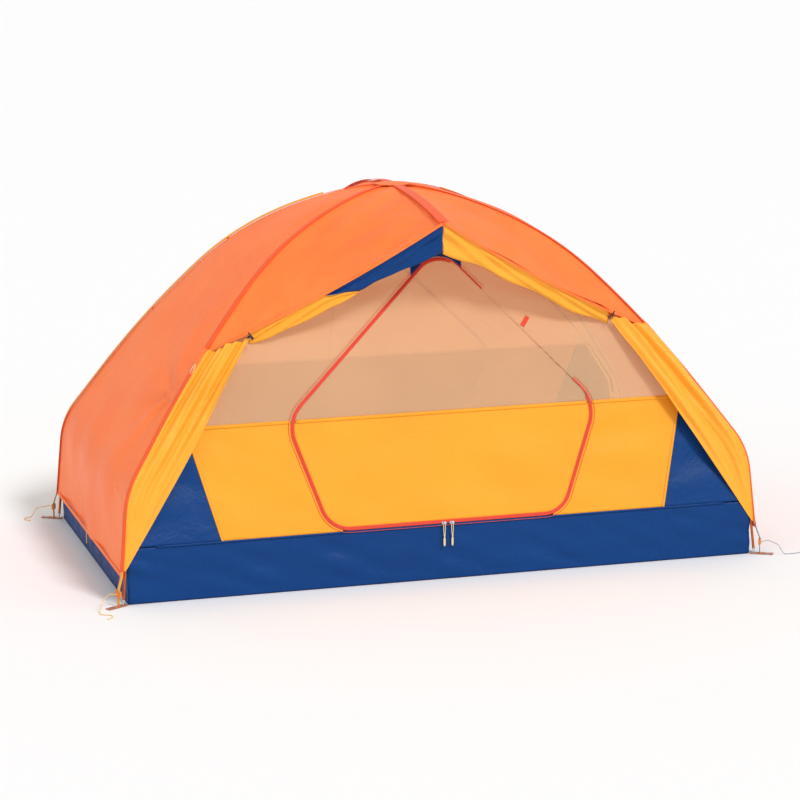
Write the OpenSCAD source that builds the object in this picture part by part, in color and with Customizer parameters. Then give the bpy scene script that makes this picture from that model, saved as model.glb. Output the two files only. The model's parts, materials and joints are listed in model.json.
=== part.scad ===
// Free-standing dome tent: inner tent, bent pole frame and rain fly.
// Millimetres, +Z up. X runs along the long sides, Y across them; the front door faces -Y.
// The origin is on the ground at the centre of the floor.

/* [Floor] */
// Length of the floor along X
floor_l = 2200; // [2160:10:2240]
// Width of the floor along Y
floor_w = 1270; // [1250:10:1290]
// Height of the tub wall
tub_h = 190; // [180:5:195]

/* [Poles] */
// Height of the lower main pole's centreline at the peak
peak_h = 1240; // [1230:5:1250]
// Outer radius of the pole tube
pole_r = 4.5; // [4.25:0.25:4.5]
// Wall of the pole tube
pole_wall = 0.65; // [0.55:0.05:0.7]
// Half length of the ridge pole along Y
ridge_half = 600; // [580:5:605]

/* [Inner tent] */
// Lean of the front and rear walls from upright, in degrees
lean = 15.8; // [15.5:0.1:16]
// Height of the lower fabric wall
lower_wall_h = 555; // [540:5:565]
// Thickness of a fabric panel
cloth = 1.2; // [1.1:0.1:1.3]

/* [Fly] */
// Distance from a pole's centreline to the fly
fly_gap = 11.5; // [11:0.5:12]
// Reach of the rear vestibule behind the origin
vestibule_y = 1150; // [1140:5:1160]

/* [Hidden] */
ORANGE = "#ff7a45";
YELLOW = "#f7b63c";
BLUE = "#1d4f93";
MESH = "#d9b48c";
RED = "#e8412a";

// ---- vectors and lists ----
function unit(v) = v / norm(v);
function flat(a) = [for (row = a) each row];
function lerp(a, b, t) = a + (b - a) * t;
function steps(a, b, n) = [for (i = [0 : n]) lerp(a, b, i / n)];
function smooth(t) = t * t * (3 - 2 * t);

// ---- the main pole's centreline, in the upright plane through two opposite corners ----
diag_a = atan2(floor_w, floor_l);
corner_rho = norm([floor_l, floor_w]) / 2;
foot_rho = corner_rho + 15;
foot_z = 20;
crown_r = 1060;
haunch_r = 3500;
elbow_r = 250;
crown_end = 42;
haunch_end = 51;
leg_a = 84;
across = foot_rho - crown_r * sin(crown_end) - haunch_r * (sin(haunch_end) - sin(crown_end))
    - elbow_r * (sin(leg_a) - sin(haunch_end));
drop = peak_h - foot_z - crown_r * (1 - cos(crown_end))
    - haunch_r * (cos(crown_end) - cos(haunch_end)) - elbow_r * (cos(haunch_end) - cos(leg_a));
turn = sin(leg_a - haunch_end);
upper_leg = (across * sin(leg_a) - drop * cos(leg_a)) / turn;
lower_leg = (drop * cos(haunch_end) - across * sin(haunch_end)) / turn;
len_1 = crown_r * crown_end * PI / 180;
len_2 = len_1 + haunch_r * (haunch_end - crown_end) * PI / 180;
len_3 = len_2 + upper_leg;
len_4 = len_3 + elbow_r * (leg_a - haunch_end) * PI / 180;
half_len = len_4 + lower_leg;

function rz(a0, r, a1, from) = from + r * [sin(a1) - sin(a0), cos(a1) - cos(a0)];
p_1 = rz(0, crown_r, crown_end, [0, peak_h]);
p_2 = rz(crown_end, haunch_r, haunch_end, p_1);
p_3 = p_2 + upper_leg * [cos(haunch_end), -sin(haunch_end)];
p_4 = rz(haunch_end, elbow_r, leg_a, p_3);
// Slope of the pole at arc length s from the peak, in degrees below level
function slope(s) = s < len_1 ? s / crown_r * 180 / PI
    : s < len_2 ? crown_end + (s - len_1) / haunch_r * 180 / PI
    : s < len_3 ? haunch_end
    : s < len_4 ? haunch_end + (s - len_3) / elbow_r * 180 / PI
    : leg_a;
// [distance from the tent's axis, height] at arc length s
function pole_rz(s) = s < len_1 ? rz(0, crown_r, slope(s), [0, peak_h])
    : s < len_2 ? rz(crown_end, haunch_r, slope(s), p_1)
    : s < len_3 ? p_2 + (s - len_2) * [cos(haunch_end), -sin(haunch_end)]
    : s < len_4 ? rz(haunch_end, elbow_r, slope(s), p_3)
    : p_4 + (s - len_4) * [cos(leg_a), -sin(leg_a)];
function outside(s, off) = pole_rz(abs(s)) + off * [sin(slope(abs(s))), cos(slope(abs(s)))];
// A point off the pole that leans to the corner at angle az, s along it and off outwards
function at_pole(az, s, off = 0) = let (q = outside(s, off)) [q.x * cos(az), q.x * sin(az), q.y];
function whole_pole(az, s, lift) = let (q = pole_rz(abs(s)), g = sign(s) * q.x)
    [g * cos(az), g * sin(az), q.y + lift * smooth(max(0, 1 - abs(s) / 600))];
CORNERS = [for (sx = [-1, 1], sy = [-1, 1]) atan2(sy * sin(diag_a), sx * cos(diag_a))];
FL = CORNERS[0];
RL = CORNERS[1];
FR = CORNERS[2];
RR = CORNERS[3];
cross_lift = 2 * pole_r + 1.4;

// ---- the ridge pole, in the plane X = 0: it drops more steeply behind the peak ----
front_r = 3360;
rear_r = 2050;
ridge_z = peak_h + 2 * cross_lift;
function on_arc(y, r, off = 0) = let (a = asin(y / r)) [0, (r + off) * sin(a),
    ridge_z - r + (r + off) * cos(a)];
function ridge_at(y, off = 0) = on_arc(y, y > 0 ? rear_r : front_r, off);

// ---- solids from point grids and paths ----
// A sheet: a grid of points, thickened evenly to both sides of it
module sheet(g, th = cloth) {
    n = len(g) - 1;
    m = len(g[0]) - 1;
    function along(i, j) = g[min(i + 1, n)][j] - g[max(i - 1, 0)][j];
    function cross_way(i, j) = g[i][min(j + 1, m)] - g[i][max(j - 1, 0)];
    nrm = [for (i = [0 : n]) [for (j = [0 : m]) unit(cross(along(i, j), cross_way(i, j)))]];
    top = [for (i = [0 : n], j = [0 : m]) g[i][j] + nrm[i][j] * th / 2];
    low = [for (i = [0 : n], j = [0 : m]) g[i][j] - nrm[i][j] * th / 2];
    k = len(top);
    w = m + 1;
    function v(i, j) = i * w + j;
    faces = concat(
        [for (i = [0 : n - 1], j = [0 : m - 1]) each
            [[v(i, j), v(i, j + 1), v(i + 1, j)], [v(i + 1, j), v(i, j + 1), v(i + 1, j + 1)]]],
        [for (i = [0 : n - 1], j = [0 : m - 1]) each
            [[k + v(i, j), k + v(i + 1, j), k + v(i, j + 1)],
             [k + v(i + 1, j), k + v(i + 1, j + 1), k + v(i, j + 1)]]],
        [for (j = [0 : m - 1]) each [[v(0, j), k + v(0, j), v(0, j + 1)],
            [v(0, j + 1), k + v(0, j), k + v(0, j + 1)],
            [v(n, j), v(n, j + 1), k + v(n, j)], [v(n, j + 1), k + v(n, j + 1), k + v(n, j)]]],
        [for (i = [0 : n - 1]) each [[v(i, 0), v(i + 1, 0), k + v(i, 0)],
            [v(i + 1, 0), k + v(i + 1, 0), k + v(i, 0)],
            [v(i, m), k + v(i, m), v(i + 1, m)], [v(i + 1, m), k + v(i, m), k + v(i + 1, m)]]]);
    polyhedron(concat(top, low), faces);
}
// Rings of points round a path, carried along it without twist from the first side vector
function tangents(p) = [for (i = [0 : len(p) - 1])
    unit(p[min(i + 1, len(p) - 1)] - p[max(i - 1, 0)])];
function carry(t, i, side) = i == 0 ? [unit(side - t[0] * (side * t[0]))]
    : let (before = carry(t, i - 1, side), u = before[len(before) - 1])
        concat(before, [unit(u - t[i] * (u * t[i]))]);
function rings(p, r, sides) = let (t = tangents(p), u = carry(t, len(p) - 1,
        abs(t[0].z) < 0.9 ? [0, 0, 1] : [1, 0, 0]))
    [for (i = [0 : len(p) - 1]) let (w = cross(t[i], u[i]))
        [for (k = [0 : sides - 1]) p[i] + r * (u[i] * cos(360 * k / sides) + w * sin(360 * k / sides))]];
module swept(p, r, sides = 8) {
    n = len(p);
    function v(i, k) = i * sides + k % sides;
    polyhedron(flat(rings(p, r, sides)), concat(
        [for (i = [0 : n - 2], k = [0 : sides - 1]) each
            [[v(i, k), v(i + 1, k), v(i, k + 1)], [v(i + 1, k), v(i + 1, k + 1), v(i, k + 1)]]],
        [[for (k = [0 : sides - 1]) v(0, k)]],
        [[for (k = [sides - 1 : -1 : 0]) v(n - 1, k)]]));
}
// A tube with both ends open, of outer radius ro and inner radius ri
module tube(p, ro, ri, sides = 10) {
    n = len(p);
    k0 = n * sides;
    function o(i, k) = i * sides + k % sides;
    function q(i, k) = k0 + i * sides + k % sides;
    polyhedron(concat(flat(rings(p, ro, sides)), flat(rings(p, ri, sides))), concat(
        [for (i = [0 : n - 2], k = [0 : sides - 1]) each
            [[o(i, k), o(i + 1, k), o(i, k + 1)], [o(i + 1, k), o(i + 1, k + 1), o(i, k + 1)],
             [q(i, k), q(i, k + 1), q(i + 1, k)], [q(i + 1, k), q(i, k + 1), q(i + 1, k + 1)]]],
        [for (k = [0 : sides - 1]) each
            [[o(0, k), o(0, k + 1), q(0, k)], [o(0, k + 1), q(0, k + 1), q(0, k)],
             [o(n - 1, k), q(n - 1, k), o(n - 1, k + 1)],
             [o(n - 1, k + 1), q(n - 1, k), q(n - 1, k + 1)]]]));
}
// Turns +X to the outward direction at az and +Z along a pole that runs down at the given slope
module on_pole(az, s, off = 0) {
    translate(at_pole(az, s, off)) rotate([0, 0, az]) rotate([0, 90 + slope(s), 0]) children();
}
module rear() { rotate([0, 0, 180]) children(); }
module both_ends() { children(); rear() children(); }

// ---- the outline of the door, as circles joined by their common tangents ----
// [x, height, radius] of each round corner, anticlockwise from the lower left
DOOR = [[-335, 296, 100], [345, 296, 100], [425, 530, 120], [45, 965, 95], [-390, 525, 120]];
wall_y = -(floor_w / 2 + 6);
function to_w(z) = (z - tub_h) / cos(lean);
function corner(i) = let (c = DOOR[(i + 5) % 5]) [c.x, to_w(c.y), c.z];
function tangent_angle(i) = let (a = corner(i), b = corner(i + 1), d = [b.x - a.x, b.y - a.y])
    atan2(d.y, d.x) - acos((a.z - b.z) / norm(d));
function turned(a, b) = b < a ? b + 360 : b;
function door_outline(grow = 0, n = 7) = [for (i = [0 : 4])
    let (a0 = tangent_angle(i - 1), a1 = turned(a0, tangent_angle(i)), c = corner(i))
    for (a = steps(a0, a1, n)) [c.x, c.y] + (c.z + grow) * [cos(a), sin(a)]];
function hinge_end(i) = let (c = corner(i), a = tangent_angle(2)) [c.x, c.y] + c.z * [cos(a), sin(a)];
function from_wall(q, out = 0) = [q.x, wall_y + q.y * sin(lean) - out * cos(lean),
    tub_h + q.y * cos(lean) + out * sin(lean)];
hinge_low = hinge_end(2);
hinge_high = hinge_end(3);

// Draws a flat outline on the leaning front wall, from out0 to out1 off its inner face
module on_wall(out0, out1) {
    translate([0, wall_y, tub_h]) rotate([90 - lean, 0, 0])
        translate([0, 0, out0]) linear_extrude(out1 - out0) children();
}
module door_shape(grow) { polygon(door_outline(grow)); }
module wall_band(z0, z1, out0 = -20, out1 = 20) {
    on_wall(out0, out1) translate([-1200, to_w(z0)]) square([2400, to_w(z1) - to_w(z0)]);
}
// Edge of the front wall, [half width, height], from the tub to the peak
EDGE = [[1072, 190], [1056, 300], [1030, 400], [930, 545], [800, 690], [690, 795], [560, 890],
    [400, 980], [200, 1055], [0, 1082]];
function wall_outline(inset = 0) = concat(
    [for (e = EDGE) [max(e.x - inset, 0), to_w(e.y - inset)]],
    [for (i = [len(EDGE) - 2 : -1 : 0]) [-(EDGE[i].x - inset), to_w(EDGE[i].y - inset)]]);
gusset_foot = 775;
gusset_lean = 0.264;
function gusset_x(z) = gusset_foot + gusset_lean * (z - tub_h);
seam = 1.5;

// ---- floor and tub ----
module floor_sheet() {
    color(BLUE) translate([-floor_l / 2, -floor_w / 2, 0]) cube([floor_l, floor_w, cloth]);
}
module tub_walls() {
    color(BLUE) for (g = [-1, 1]) {
        translate([-floor_l / 2 + 8, g * (floor_w / 2 + 4) - cloth / 2, 1.5])
            cube([floor_l - 16, cloth, tub_h - 5]);
        translate([g * (floor_l / 2 - 4) - cloth / 2, -floor_w / 2 + 15, 1.5])
            cube([cloth, floor_w - 30, tub_h - 5]);
    }
}

// ---- front and rear walls ----
module wall_sheet() { on_wall(0, cloth) polygon(wall_outline()); }
module inside_gussets(side_gap) {
    on_wall(-20, 20) polygon([
        [-(gusset_x(tub_h) - side_gap), -5], [gusset_x(tub_h) - side_gap, -5],
        [gusset_x(1100) - side_gap, to_w(1100)], [-(gusset_x(1100) - side_gap), to_w(1100)]]);
}
module corner_gussets() {
    color(BLUE) both_ends() difference() {
        intersection() { wall_sheet(); wall_band(tub_h + seam, lower_wall_h - seam); }
        inside_gussets(-seam);
    }
}
module lower_wall_panels() {
    color(YELLOW) both_ends() difference() {
        intersection() {
            wall_sheet();
            wall_band(tub_h + seam, lower_wall_h - seam);
            inside_gussets(seam);
        }
        on_wall(-20, 20) door_shape(seam);
    }
}
module wall_mesh_panels() {
    color(MESH) both_ends() difference() {
        intersection() { wall_sheet(); wall_band(lower_wall_h + seam, 1200); }
        on_wall(-20, 20) door_shape(seam);
    }
}
module peak_patches() {
    color(BLUE) both_ends() on_wall(cloth + 2.6, cloth + 3.6)
        polygon([[-52, to_w(1066)], [130, to_w(1058)], [100, to_w(1078)], [-20, to_w(1080)]]);
}
module door_toggle_tabs() {
    mid = (hinge_low + hinge_high) / 2;
    color(RED) both_ends() on_wall(cloth + 0.5, cloth + 3)
        translate(mid + [21, 19]) rotate(-36) square([16, 38], center = true);
}

// ---- doors and their zips ----
module hinge_gap() {
    mid = (hinge_low + hinge_high) / 2;
    run = norm(hinge_high - hinge_low);
    on_wall(-30, 30) translate(mid) rotate(tangent_angle(2)) square([120, run * 1.09], center = true);
}
module door_sheet() { on_wall(0, cloth) door_shape(-seam); }
module door_lower() { intersection() { door_sheet(); wall_band(150, lower_wall_h - seam); } }
module door_mesh() { intersection() { door_sheet(); wall_band(lower_wall_h + seam, 1200); } }
module zip_ring(outer, inner) {
    difference() {
        on_wall(cloth + 0.3, cloth + 2.3) door_shape(outer);
        on_wall(-10, 10) door_shape(inner);
        hinge_gap();
    }
}
module front_door_lower() { color(YELLOW) door_lower(); }
module front_door_mesh() { color(MESH) door_mesh(); }
module front_door_zip_tape() { color(RED) zip_ring(-1.2, -7); }
module rear_door_lower() { color(YELLOW) rear() door_lower(); }
module rear_door_mesh() { color(MESH) rear() door_mesh(); }
module rear_door_zip_tape() { color(RED) rear() zip_ring(-1.2, -7); }
module wall_zip_tapes() { color(RED) both_ends() zip_ring(7, 1.2); }

// The sliders meet in the middle of the door's sill; side is -1 or 1
sill_w = corner(0).y - corner(0).z;
slider_x = 14;
slider_out = cloth + 2.8;
pull_len = 85;
function pull_pivot(side) = from_wall([side * slider_x, sill_w - 5], slider_out + 8);
module slider(side) {
    translate([side * slider_x, 0, 0]) difference() {
        union() {
            on_wall(slider_out, slider_out + 4) translate([-8, sill_w - 10]) square([16, 9]);
            on_wall(slider_out + 4, slider_out + 10.5) translate([-3, sill_w - 9]) square([6, 8]);
        }
        translate(pull_pivot(0) - [10, 0, 0]) rotate([0, 90, 0]) cylinder(r = 1.6, h = 20, $fn = 24);
    }
}
module pull(side) {
    translate(pull_pivot(side)) {
        translate([-7, 0, 0]) rotate([0, 90, 0]) cylinder(r = 1.5, h = 14, $fn = 24);
        for (g = [-1, 1]) translate([g * 5.6 - 1.2, -1.5, -32]) cube([2.4, 3, 32]);
        translate([-6.8, -1.5, -36]) cube([13.6, 3, 5]);
        translate([-2.5, -1.5, -pull_len]) cube([5, 3, pull_len - 35]);
    }
}
module front_slider_left() { color("silver") slider(-1); }
module front_slider_right() { color("silver") slider(1); }
module front_pull_left() { color("wheat") pull(-1); }
module front_pull_right() { color("wheat") pull(1); }
module rear_slider_left() { color("silver") rear() slider(-1); }
module rear_slider_right() { color("silver") rear() slider(1); }
module rear_pull_left() { color("wheat") rear() pull(-1); }
module rear_pull_right() { color("wheat") rear() pull(1); }

// ---- end walls and roof of the inner tent: rows from the front wall's edge over to the rear's ----
function wall_depth(z) = -wall_y - (z - tub_h) * tan(lean);
function crown_lift(z) = 96 * pow(max(0, (z - tub_h) / 892), 1.6);
function edge_at(t) = let (n = len(EDGE) - 1, i = min(floor(t * n), n - 1))
    lerp(EDGE[i], EDGE[i + 1], t * n - i);
function row_across(x, z, n = 6) = [for (v = steps(-1, 1, n))
    [x, v * (wall_depth(z) - 4), z + crown_lift(z) * (1 - v * v)]];
module end_mesh(side) {
    rows = [for (t = steps(0.012, 0.76, 14)) let (e = edge_at(t)) row_across(side * e.x, e.y)];
    sheet(rows);
}
module end_mesh_left() { color(MESH) end_mesh(-1); }
module end_mesh_right() { color(MESH) end_mesh(1); }
module roof_mesh() {
    e = edge_at(0.77);
    color(MESH) sheet([for (x = steps(-e.x, e.x, 14))
        let (t = lookup(abs(x), [for (i = [len(EDGE) - 1 : -1 : 0]) [EDGE[i].x, EDGE[i].y]]))
        row_across(x, t)]);
}

// ---- poles ----
section_len = 2 * half_len / 9;
function pole_path(az, s0, s1, lift, n) = [for (s = steps(s0, s1, n)) whole_pole(az, s, lift)];
module pole_section(az, i, lift) {
    n = abs(i) == 4 ? 18 : 8;
    tube(pole_path(az, (i - 0.5) * section_len + 0.3, (i + 0.5) * section_len - 0.3, lift, n),
        pole_r, pole_r - pole_wall);
}
module main_pole_a_sections() { color("#3a3d42") for (i = [-3 : 3]) pole_section(FL, i, 0); }
module main_pole_b_sections() { color("#3a3d42") for (i = [-3 : 3]) pole_section(FR, i, cross_lift); }
module elbow_sections() {
    color("#d9622f") for (i = [-4, 4]) { pole_section(FL, i, 0); pole_section(FR, i, cross_lift); }
}
function ridge_path(y0, y1, n) = [for (y = steps(y0, y1, n)) ridge_at(y)];
module ridge_pole_sections() {
    third = 2 * ridge_half / 3;
    color("#3a3d42") for (i = [-1 : 1])
        tube(ridge_path((i - 0.5) * third + 0.3, (i + 0.5) * third - 0.3, 8), pole_r, pole_r - pole_wall);
}
// The tubes have ten sides, so a fitting inside them stays within the flats
ferrule_r = (pole_r - pole_wall) * cos(18) - 0.5;
module ferrule(p) { tube(p, ferrule_r, ferrule_r - 0.6); }
module pole_ferrules() {
    color("silver") {
        for (i = [-4 : 3], pole = [[FL, 0], [FR, cross_lift]])
            ferrule(pole_path(pole.x, (i + 0.5) * section_len - 26, (i + 0.5) * section_len + 26, pole.y, 3));
        for (y = [-1, 1] * ridge_half / 3) ferrule(ridge_path(y - 26, y + 26, 3));
    }
}
module shock_cords() {
    color("white") {
        for (pole = [[FL, 0], [FR, cross_lift]])
            swept(pole_path(pole.x, -half_len + 14, half_len - 14, pole.y, 70), 1.2, 6);
        swept(ridge_path(-ridge_half + 14, ridge_half - 14, 24), 1.2, 6);
    }
}
module foot_tip() {
    translate([0, 0, -14]) difference() {
        union() {
            cylinder(r = ferrule_r, h = 12, $fn = 32);
            translate([0, 0, 14.2]) cylinder(r = pole_r + 0.8, h = 3, $fn = 32);
            translate([0, 0, 12]) cylinder(r = ferrule_r, h = 2.2, $fn = 32);
            translate([0, 0, 17]) cylinder(r = 2.8, h = 16, $fn = 32);
        }
        translate([0, 0, -1]) cylinder(r = 1.6, h = 15, $fn = 24);
    }
}
module pole_tips() {
    color("#c9ccd1") {
        for (az = CORNERS) on_pole(az, half_len) foot_tip();
        for (g = [-1, 1]) translate(ridge_at(g * ridge_half))
            rotate([-g * (90 + asin(ridge_half / (g > 0 ? rear_r : front_r))), 0, 0]) foot_tip();
    }
}

// ---- clips that hang the inner tent from the poles ----
CLIPS = [420, 760, 1090, 1390, 1700];
module c_clip(reach) {
    difference() {
        union() {
            cylinder(r = pole_r + 2.4, h = 16, center = true, $fn = 32);
            translate([-reach, -2, -6]) cube([reach - pole_r, 4, 12]);
        }
        cylinder(r = pole_r + 0.8, h = 18, center = true, $fn = 32);
        translate([-2, -12, -10]) rotate([0, 0, -20]) cube([5, 10, 20]);
    }
}
module pole_clips() {
    color("#2b2d31") for (az = CORNERS, s = CLIPS)
        translate([0, 0, (az == FR || az == RL) ? cross_lift * smooth(max(0, 1 - s / 600)) : 0])
            on_pole(az, s) rotate([0, 0, 180]) c_clip(s > 1300 ? 12 : 34);
}
module peak_clip() {
    color("#2b2d31") difference() {
        translate([0, 0, peak_h - 12]) cylinder(r = 26, h = 2 * cross_lift + 16, $fn = 48);
        for (az = [FL, FR])
            translate([0, 0, peak_h + (az == FR ? cross_lift : 0)]) rotate([0, 90, az])
                cylinder(r = pole_r + 1.1, h = 80, center = true, $fn = 32);
        translate([0, 0, ridge_z]) rotate([90, 0, 0])
            cylinder(r = pole_r + 1.1, h = 80, center = true, $fn = 32);
    }
}

// ---- corner tabs with an eyelet for the pole and one for the peg ----
peg_out = 66;
tab_end = 84;
tab_z = 1.6;
eyelet_r = 4.5;
EYELETS = [foot_rho - corner_rho + 2.2, peg_out];
module corner_tab() {
    translate([corner_rho + 4, -11, tab_z]) difference() {
        cube([tab_end - 4, 22, 1.6]);
        for (e = EYELETS) translate([e - 4, 11, -1]) cylinder(r = 6, h = 4, $fn = 32);
    }
}
module eyelet() {
    difference() {
        union() {
            cylinder(r = 5.9, h = 3.2, $fn = 32);
            cylinder(r = 8.5, h = 0.7, $fn = 32);
            translate([0, 0, 2.5]) cylinder(r = 8.5, h = 0.7, $fn = 32);
        }
        translate([0, 0, -1]) cylinder(r = eyelet_r, h = 6, $fn = 32);
    }
}
module corner_tabs() { color("#c8641f") for (az = CORNERS) rotate([0, 0, az]) corner_tab(); }
module eyelets() {
    color("silver") for (az = CORNERS, e = EYELETS)
        rotate([0, 0, az]) translate([corner_rho + e, 0, tab_z - 0.8]) eyelet();
}

// ---- the fly's surfaces ----
shoulder_s = 1040;
hem_s = half_len - 74;
fly_peak_s = 34;
function peak_lift(s) = 19 * exp(-pow(s / 230, 2));
function fly_rz(s) = outside(s, fly_gap) + [0, peak_lift(s)];
function fly_at(az, s) = let (q = fly_rz(s)) [q.x * cos(az), q.x * sin(az), q.y];
seam_gap = 2.5;
module fly_end(side) {
    sheet([for (s = concat(steps(fly_peak_s, len_3, 12), steps(len_3 + 40, hem_s, 5)))
        let (q = fly_rz(s), half = q.x * sin(diag_a) - seam_gap)
        [for (v = steps(-1, 1, 4)) [side * q.x * cos(diag_a), side * v * half, q.y]]]);
}
ridge_over = 20;
function ridge_fly(u, r) = on_arc(-u * (ridge_half + ridge_over), r, 9);
function awning_sag(u, v) = 22 * u * 4 * v * (1 - v);
// u runs from the peak out to the seam, v from the pole across to the ridge pole
function awning_at(side, u, v, r = front_r) = let (
        pole = fly_at(side < 0 ? FL : FR, lerp(fly_peak_s, shoulder_s, u)), ridge = ridge_fly(u, r))
    lerp(pole, ridge, v) - [0, 0, awning_sag(u, v)];
module awning(side, r) {
    sheet([for (u = steps(0.05, 1, 9)) let (e = 0.012 / u * 0.5)
        [for (v = steps(e, 1 - e, 8)) awning_at(side, u, side < 0 ? v : 1 - v, r)]]);
}
module fly_end_left() { color(ORANGE) fly_end(-1); }
module fly_end_right() { color(ORANGE) fly_end(1); }
module fly_awning_front() { color(ORANGE) for (g = [-1, 1]) awning(g, front_r); }
module fly_awning_rear() { color(ORANGE) rear() for (g = [-1, 1]) awning(g, rear_r); }

// ---- the tied-back front flaps ----
tie_v = 0.19;
function tie_point(side) = awning_at(side, 1, tie_v) + [0, -6, -14];
function flap_inner(side, t) = lerp(tie_point(side), fly_at(side < 0 ? FL : FR, hem_s - 4), t)
    + [0, -9 - 24 * sin(180 * t), 10 * sin(180 * t)];
module flap(side) {
    corner_az = side < 0 ? FL : FR;
    sheet([for (t = steps(0.02, 0.94, 10))
        let (outer = fly_at(corner_az, lerp(shoulder_s, hem_s, t)) + [-side * 3, -7, 0],
            inner = flap_inner(side, t))
        [for (v = steps(0.02, 1, 4)) lerp(outer, inner, side < 0 ? v : 1 - v)]]);
}
// Depth of the strip that hangs from the seam, at v from the pole to the ridge
function strip_depth(v) = 16 + 104 * pow((v - tie_v) / (1 - tie_v), 0.8);
function strip_at(side, v, w) = awning_at(side, 1, v) + [0, 3 + 18 * w, -4 - w * strip_depth(v)];
module strip(side, v0, v1) {
    sheet([for (w = steps(0, 1, 3))
        [for (v = steps(v0, v1, 8)) strip_at(side, side < 0 ? v : v0 + v1 - v, w)]]);
}
vent_v = 0.5;
module front_flap_left() { color(YELLOW) flap(-1); }
module front_flap_right() { color(YELLOW) flap(1); }
module front_flap_rolls() {
    color(YELLOW) { strip(-1, tie_v + 0.02, vent_v - 0.01); strip(1, tie_v + 0.02, 0.985); }
}
module front_vent_panel() { color(BLUE) strip(-1, vent_v + 0.01, 0.985); }
module tie_toggles() {
    color("#241414") for (g = [-1, 1]) translate(tie_point(g) + [0, -16, 6])
        rotate([0, g * 40, 0]) cylinder(r = 2.2, h = 30, center = true, $fn = 24);
}

// ---- the closed rear vestibule: fixed shoulders and two flat flaps ----
tip = let (q = ridge_at(ridge_half + ridge_over, 9)) [0, q.y + 6, q.z - 8];
function fly_corner(side) = fly_at(side < 0 ? RL : RR, hem_s) + [0, 8, 0];
stake = [0, vestibule_y, 45];
function outer_edge(side, t) = t < 0.5
    ? let (p = awning_at(-side, 1, 1 - 2 * t, rear_r)) [-p.x, -p.y + 4, p.z - 5]
    : fly_at(side < 0 ? RL : RR, lerp(shoulder_s, hem_s, 2 * t - 1)) + [-side * 4, 4, 0];
module rear_shoulder(side) {
    sheet([for (t = steps(0.03, 0.96, 16)) let (chord = lerp(tip, fly_corner(side), t) + [side * 5, 1, 5])
        [for (v = steps(0.02, 1, 4)) lerp(outer_edge(side, t), chord, side < 0 ? 1 - v : v)]]);
}
module rear_shoulder_panels() { color(YELLOW) for (g = [-1, 1]) rear_shoulder(g); }
zip_gap = 7;
module vestibule_flap(side) {
    top = tip + [side * zip_gap, 5, -12];
    low = fly_corner(side) + [-side * 12, 6, -4];
    foot = stake + [side * zip_gap, 0, 0];
    out = unit(cross(low - top, foot - top)) * side * cloth;
    a = [top, low, foot];
    b = [for (p = a) p + out];
    pts = concat(a, b);
    polyhedron(pts, side > 0
        ? [[0, 1, 2], [3, 5, 4], [0, 3, 4], [0, 4, 1], [1, 4, 5], [1, 5, 2], [2, 5, 3], [2, 3, 0]]
        : [[0, 2, 1], [3, 4, 5], [0, 4, 3], [0, 1, 4], [1, 5, 4], [1, 2, 5], [2, 3, 5], [2, 0, 3]]);
}
module rear_vestibule_left() { color(YELLOW) vestibule_flap(-1); }
module rear_vestibule_right() { color(YELLOW) vestibule_flap(1); }
zip_run = norm(tip - stake);
zip_tilt = atan2(tip.y - stake.y, tip.z - stake.z);
module along_zip(from_foot) {
    translate(stake) rotate([-zip_tilt, 0, 0]) translate([0, 0, from_foot]) children();
}
module rear_fly_zip_tape() {
    color("#c8641f") along_zip(25) translate([-4, 1.5, 0]) cube([8, 2.5, zip_run - 60]);
}
module rear_fly_slider() {
    color("#2b2d31") along_zip(60) {
        translate([-6, 4.6, 0]) cube([12, 5, 16]);
        translate([-2.5, 9.6, -30]) cube([5, 3, 38]);
    }
}

// ---- corner straps, their ladder locks and the loops on the hem ----
strap_w = 14;
strap_low = 6;
strap_top = 88;
strap_rho = corner_rho + 36;
module corner_strap() {
    translate([strap_rho, -strap_w / 2, strap_low]) cube([1.4, strap_w, strap_top - strap_low]);
}
module ladder_lock() {
    translate([strap_rho - 3, -12, 34]) difference() {
        cube([7.4, 24, 20]);
        translate([2.2, 24 / 2 - strap_w / 2 - 0.6, -1]) cube([3, strap_w + 1.2, 22]);
    }
}
module corner_straps_left() { color("#f0a020") for (az = [FL, RL]) rotate([0, 0, az]) corner_strap(); }
module corner_straps_right() { color("#1b2440") for (az = [FR, RR]) rotate([0, 0, az]) corner_strap(); }
module ladder_locks() { color("#d8761c") for (az = CORNERS) rotate([0, 0, az]) ladder_lock(); }
module hem_loops() {
    hem = fly_rz(hem_s);
    color("#f5cf5a") for (g = [-1, 1])
        translate([g * (hem.x * cos(diag_a) + 1.6) - 0.7, 18, hem.y - 42]) cube([1.4, 12, 50]);
}

// ---- guy cords: each a short free end that hangs from its lock, clears the peg and lies on the ground ----
cord_r = 1.25;
GUY_FL = [[-1137, -656.5, 44], [-1146, -661.5, 46], [-1162.5, -656.5, 46], [-1186, -684, 37],
    [-1194, -690, 26], [-1199, -697, 14], [-1203, -704, 5], [-1206, -712, 1.6], [-1207, -722, 1.4], [-1203, -732, 1.4], [-1195, -738, 1.4],
    [-1186, -742, 1.4], [-1178, -748, 1.4], [-1173, -757, 1.4], [-1173, -768, 1.4], [-1178, -779, 1.4],
    [-1186, -789, 1.4], [-1196, -797, 1.4]];
GUY_RL = [[-1137, 656.5, 44], [-1146, 661.5, 46], [-1162.5, 656.5, 46], [-1186, 681, 37],
    [-1195, 683, 27], [-1203, 685, 15], [-1210, 686, 5], [-1218, 686, 1.6], [-1227, 684, 1.4], [-1235, 679, 1.4], [-1240, 671, 1.4],
    [-1241, 661, 1.4], [-1237, 651, 1.4], [-1230, 643, 1.4], [-1222, 636, 1.4]];
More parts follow.
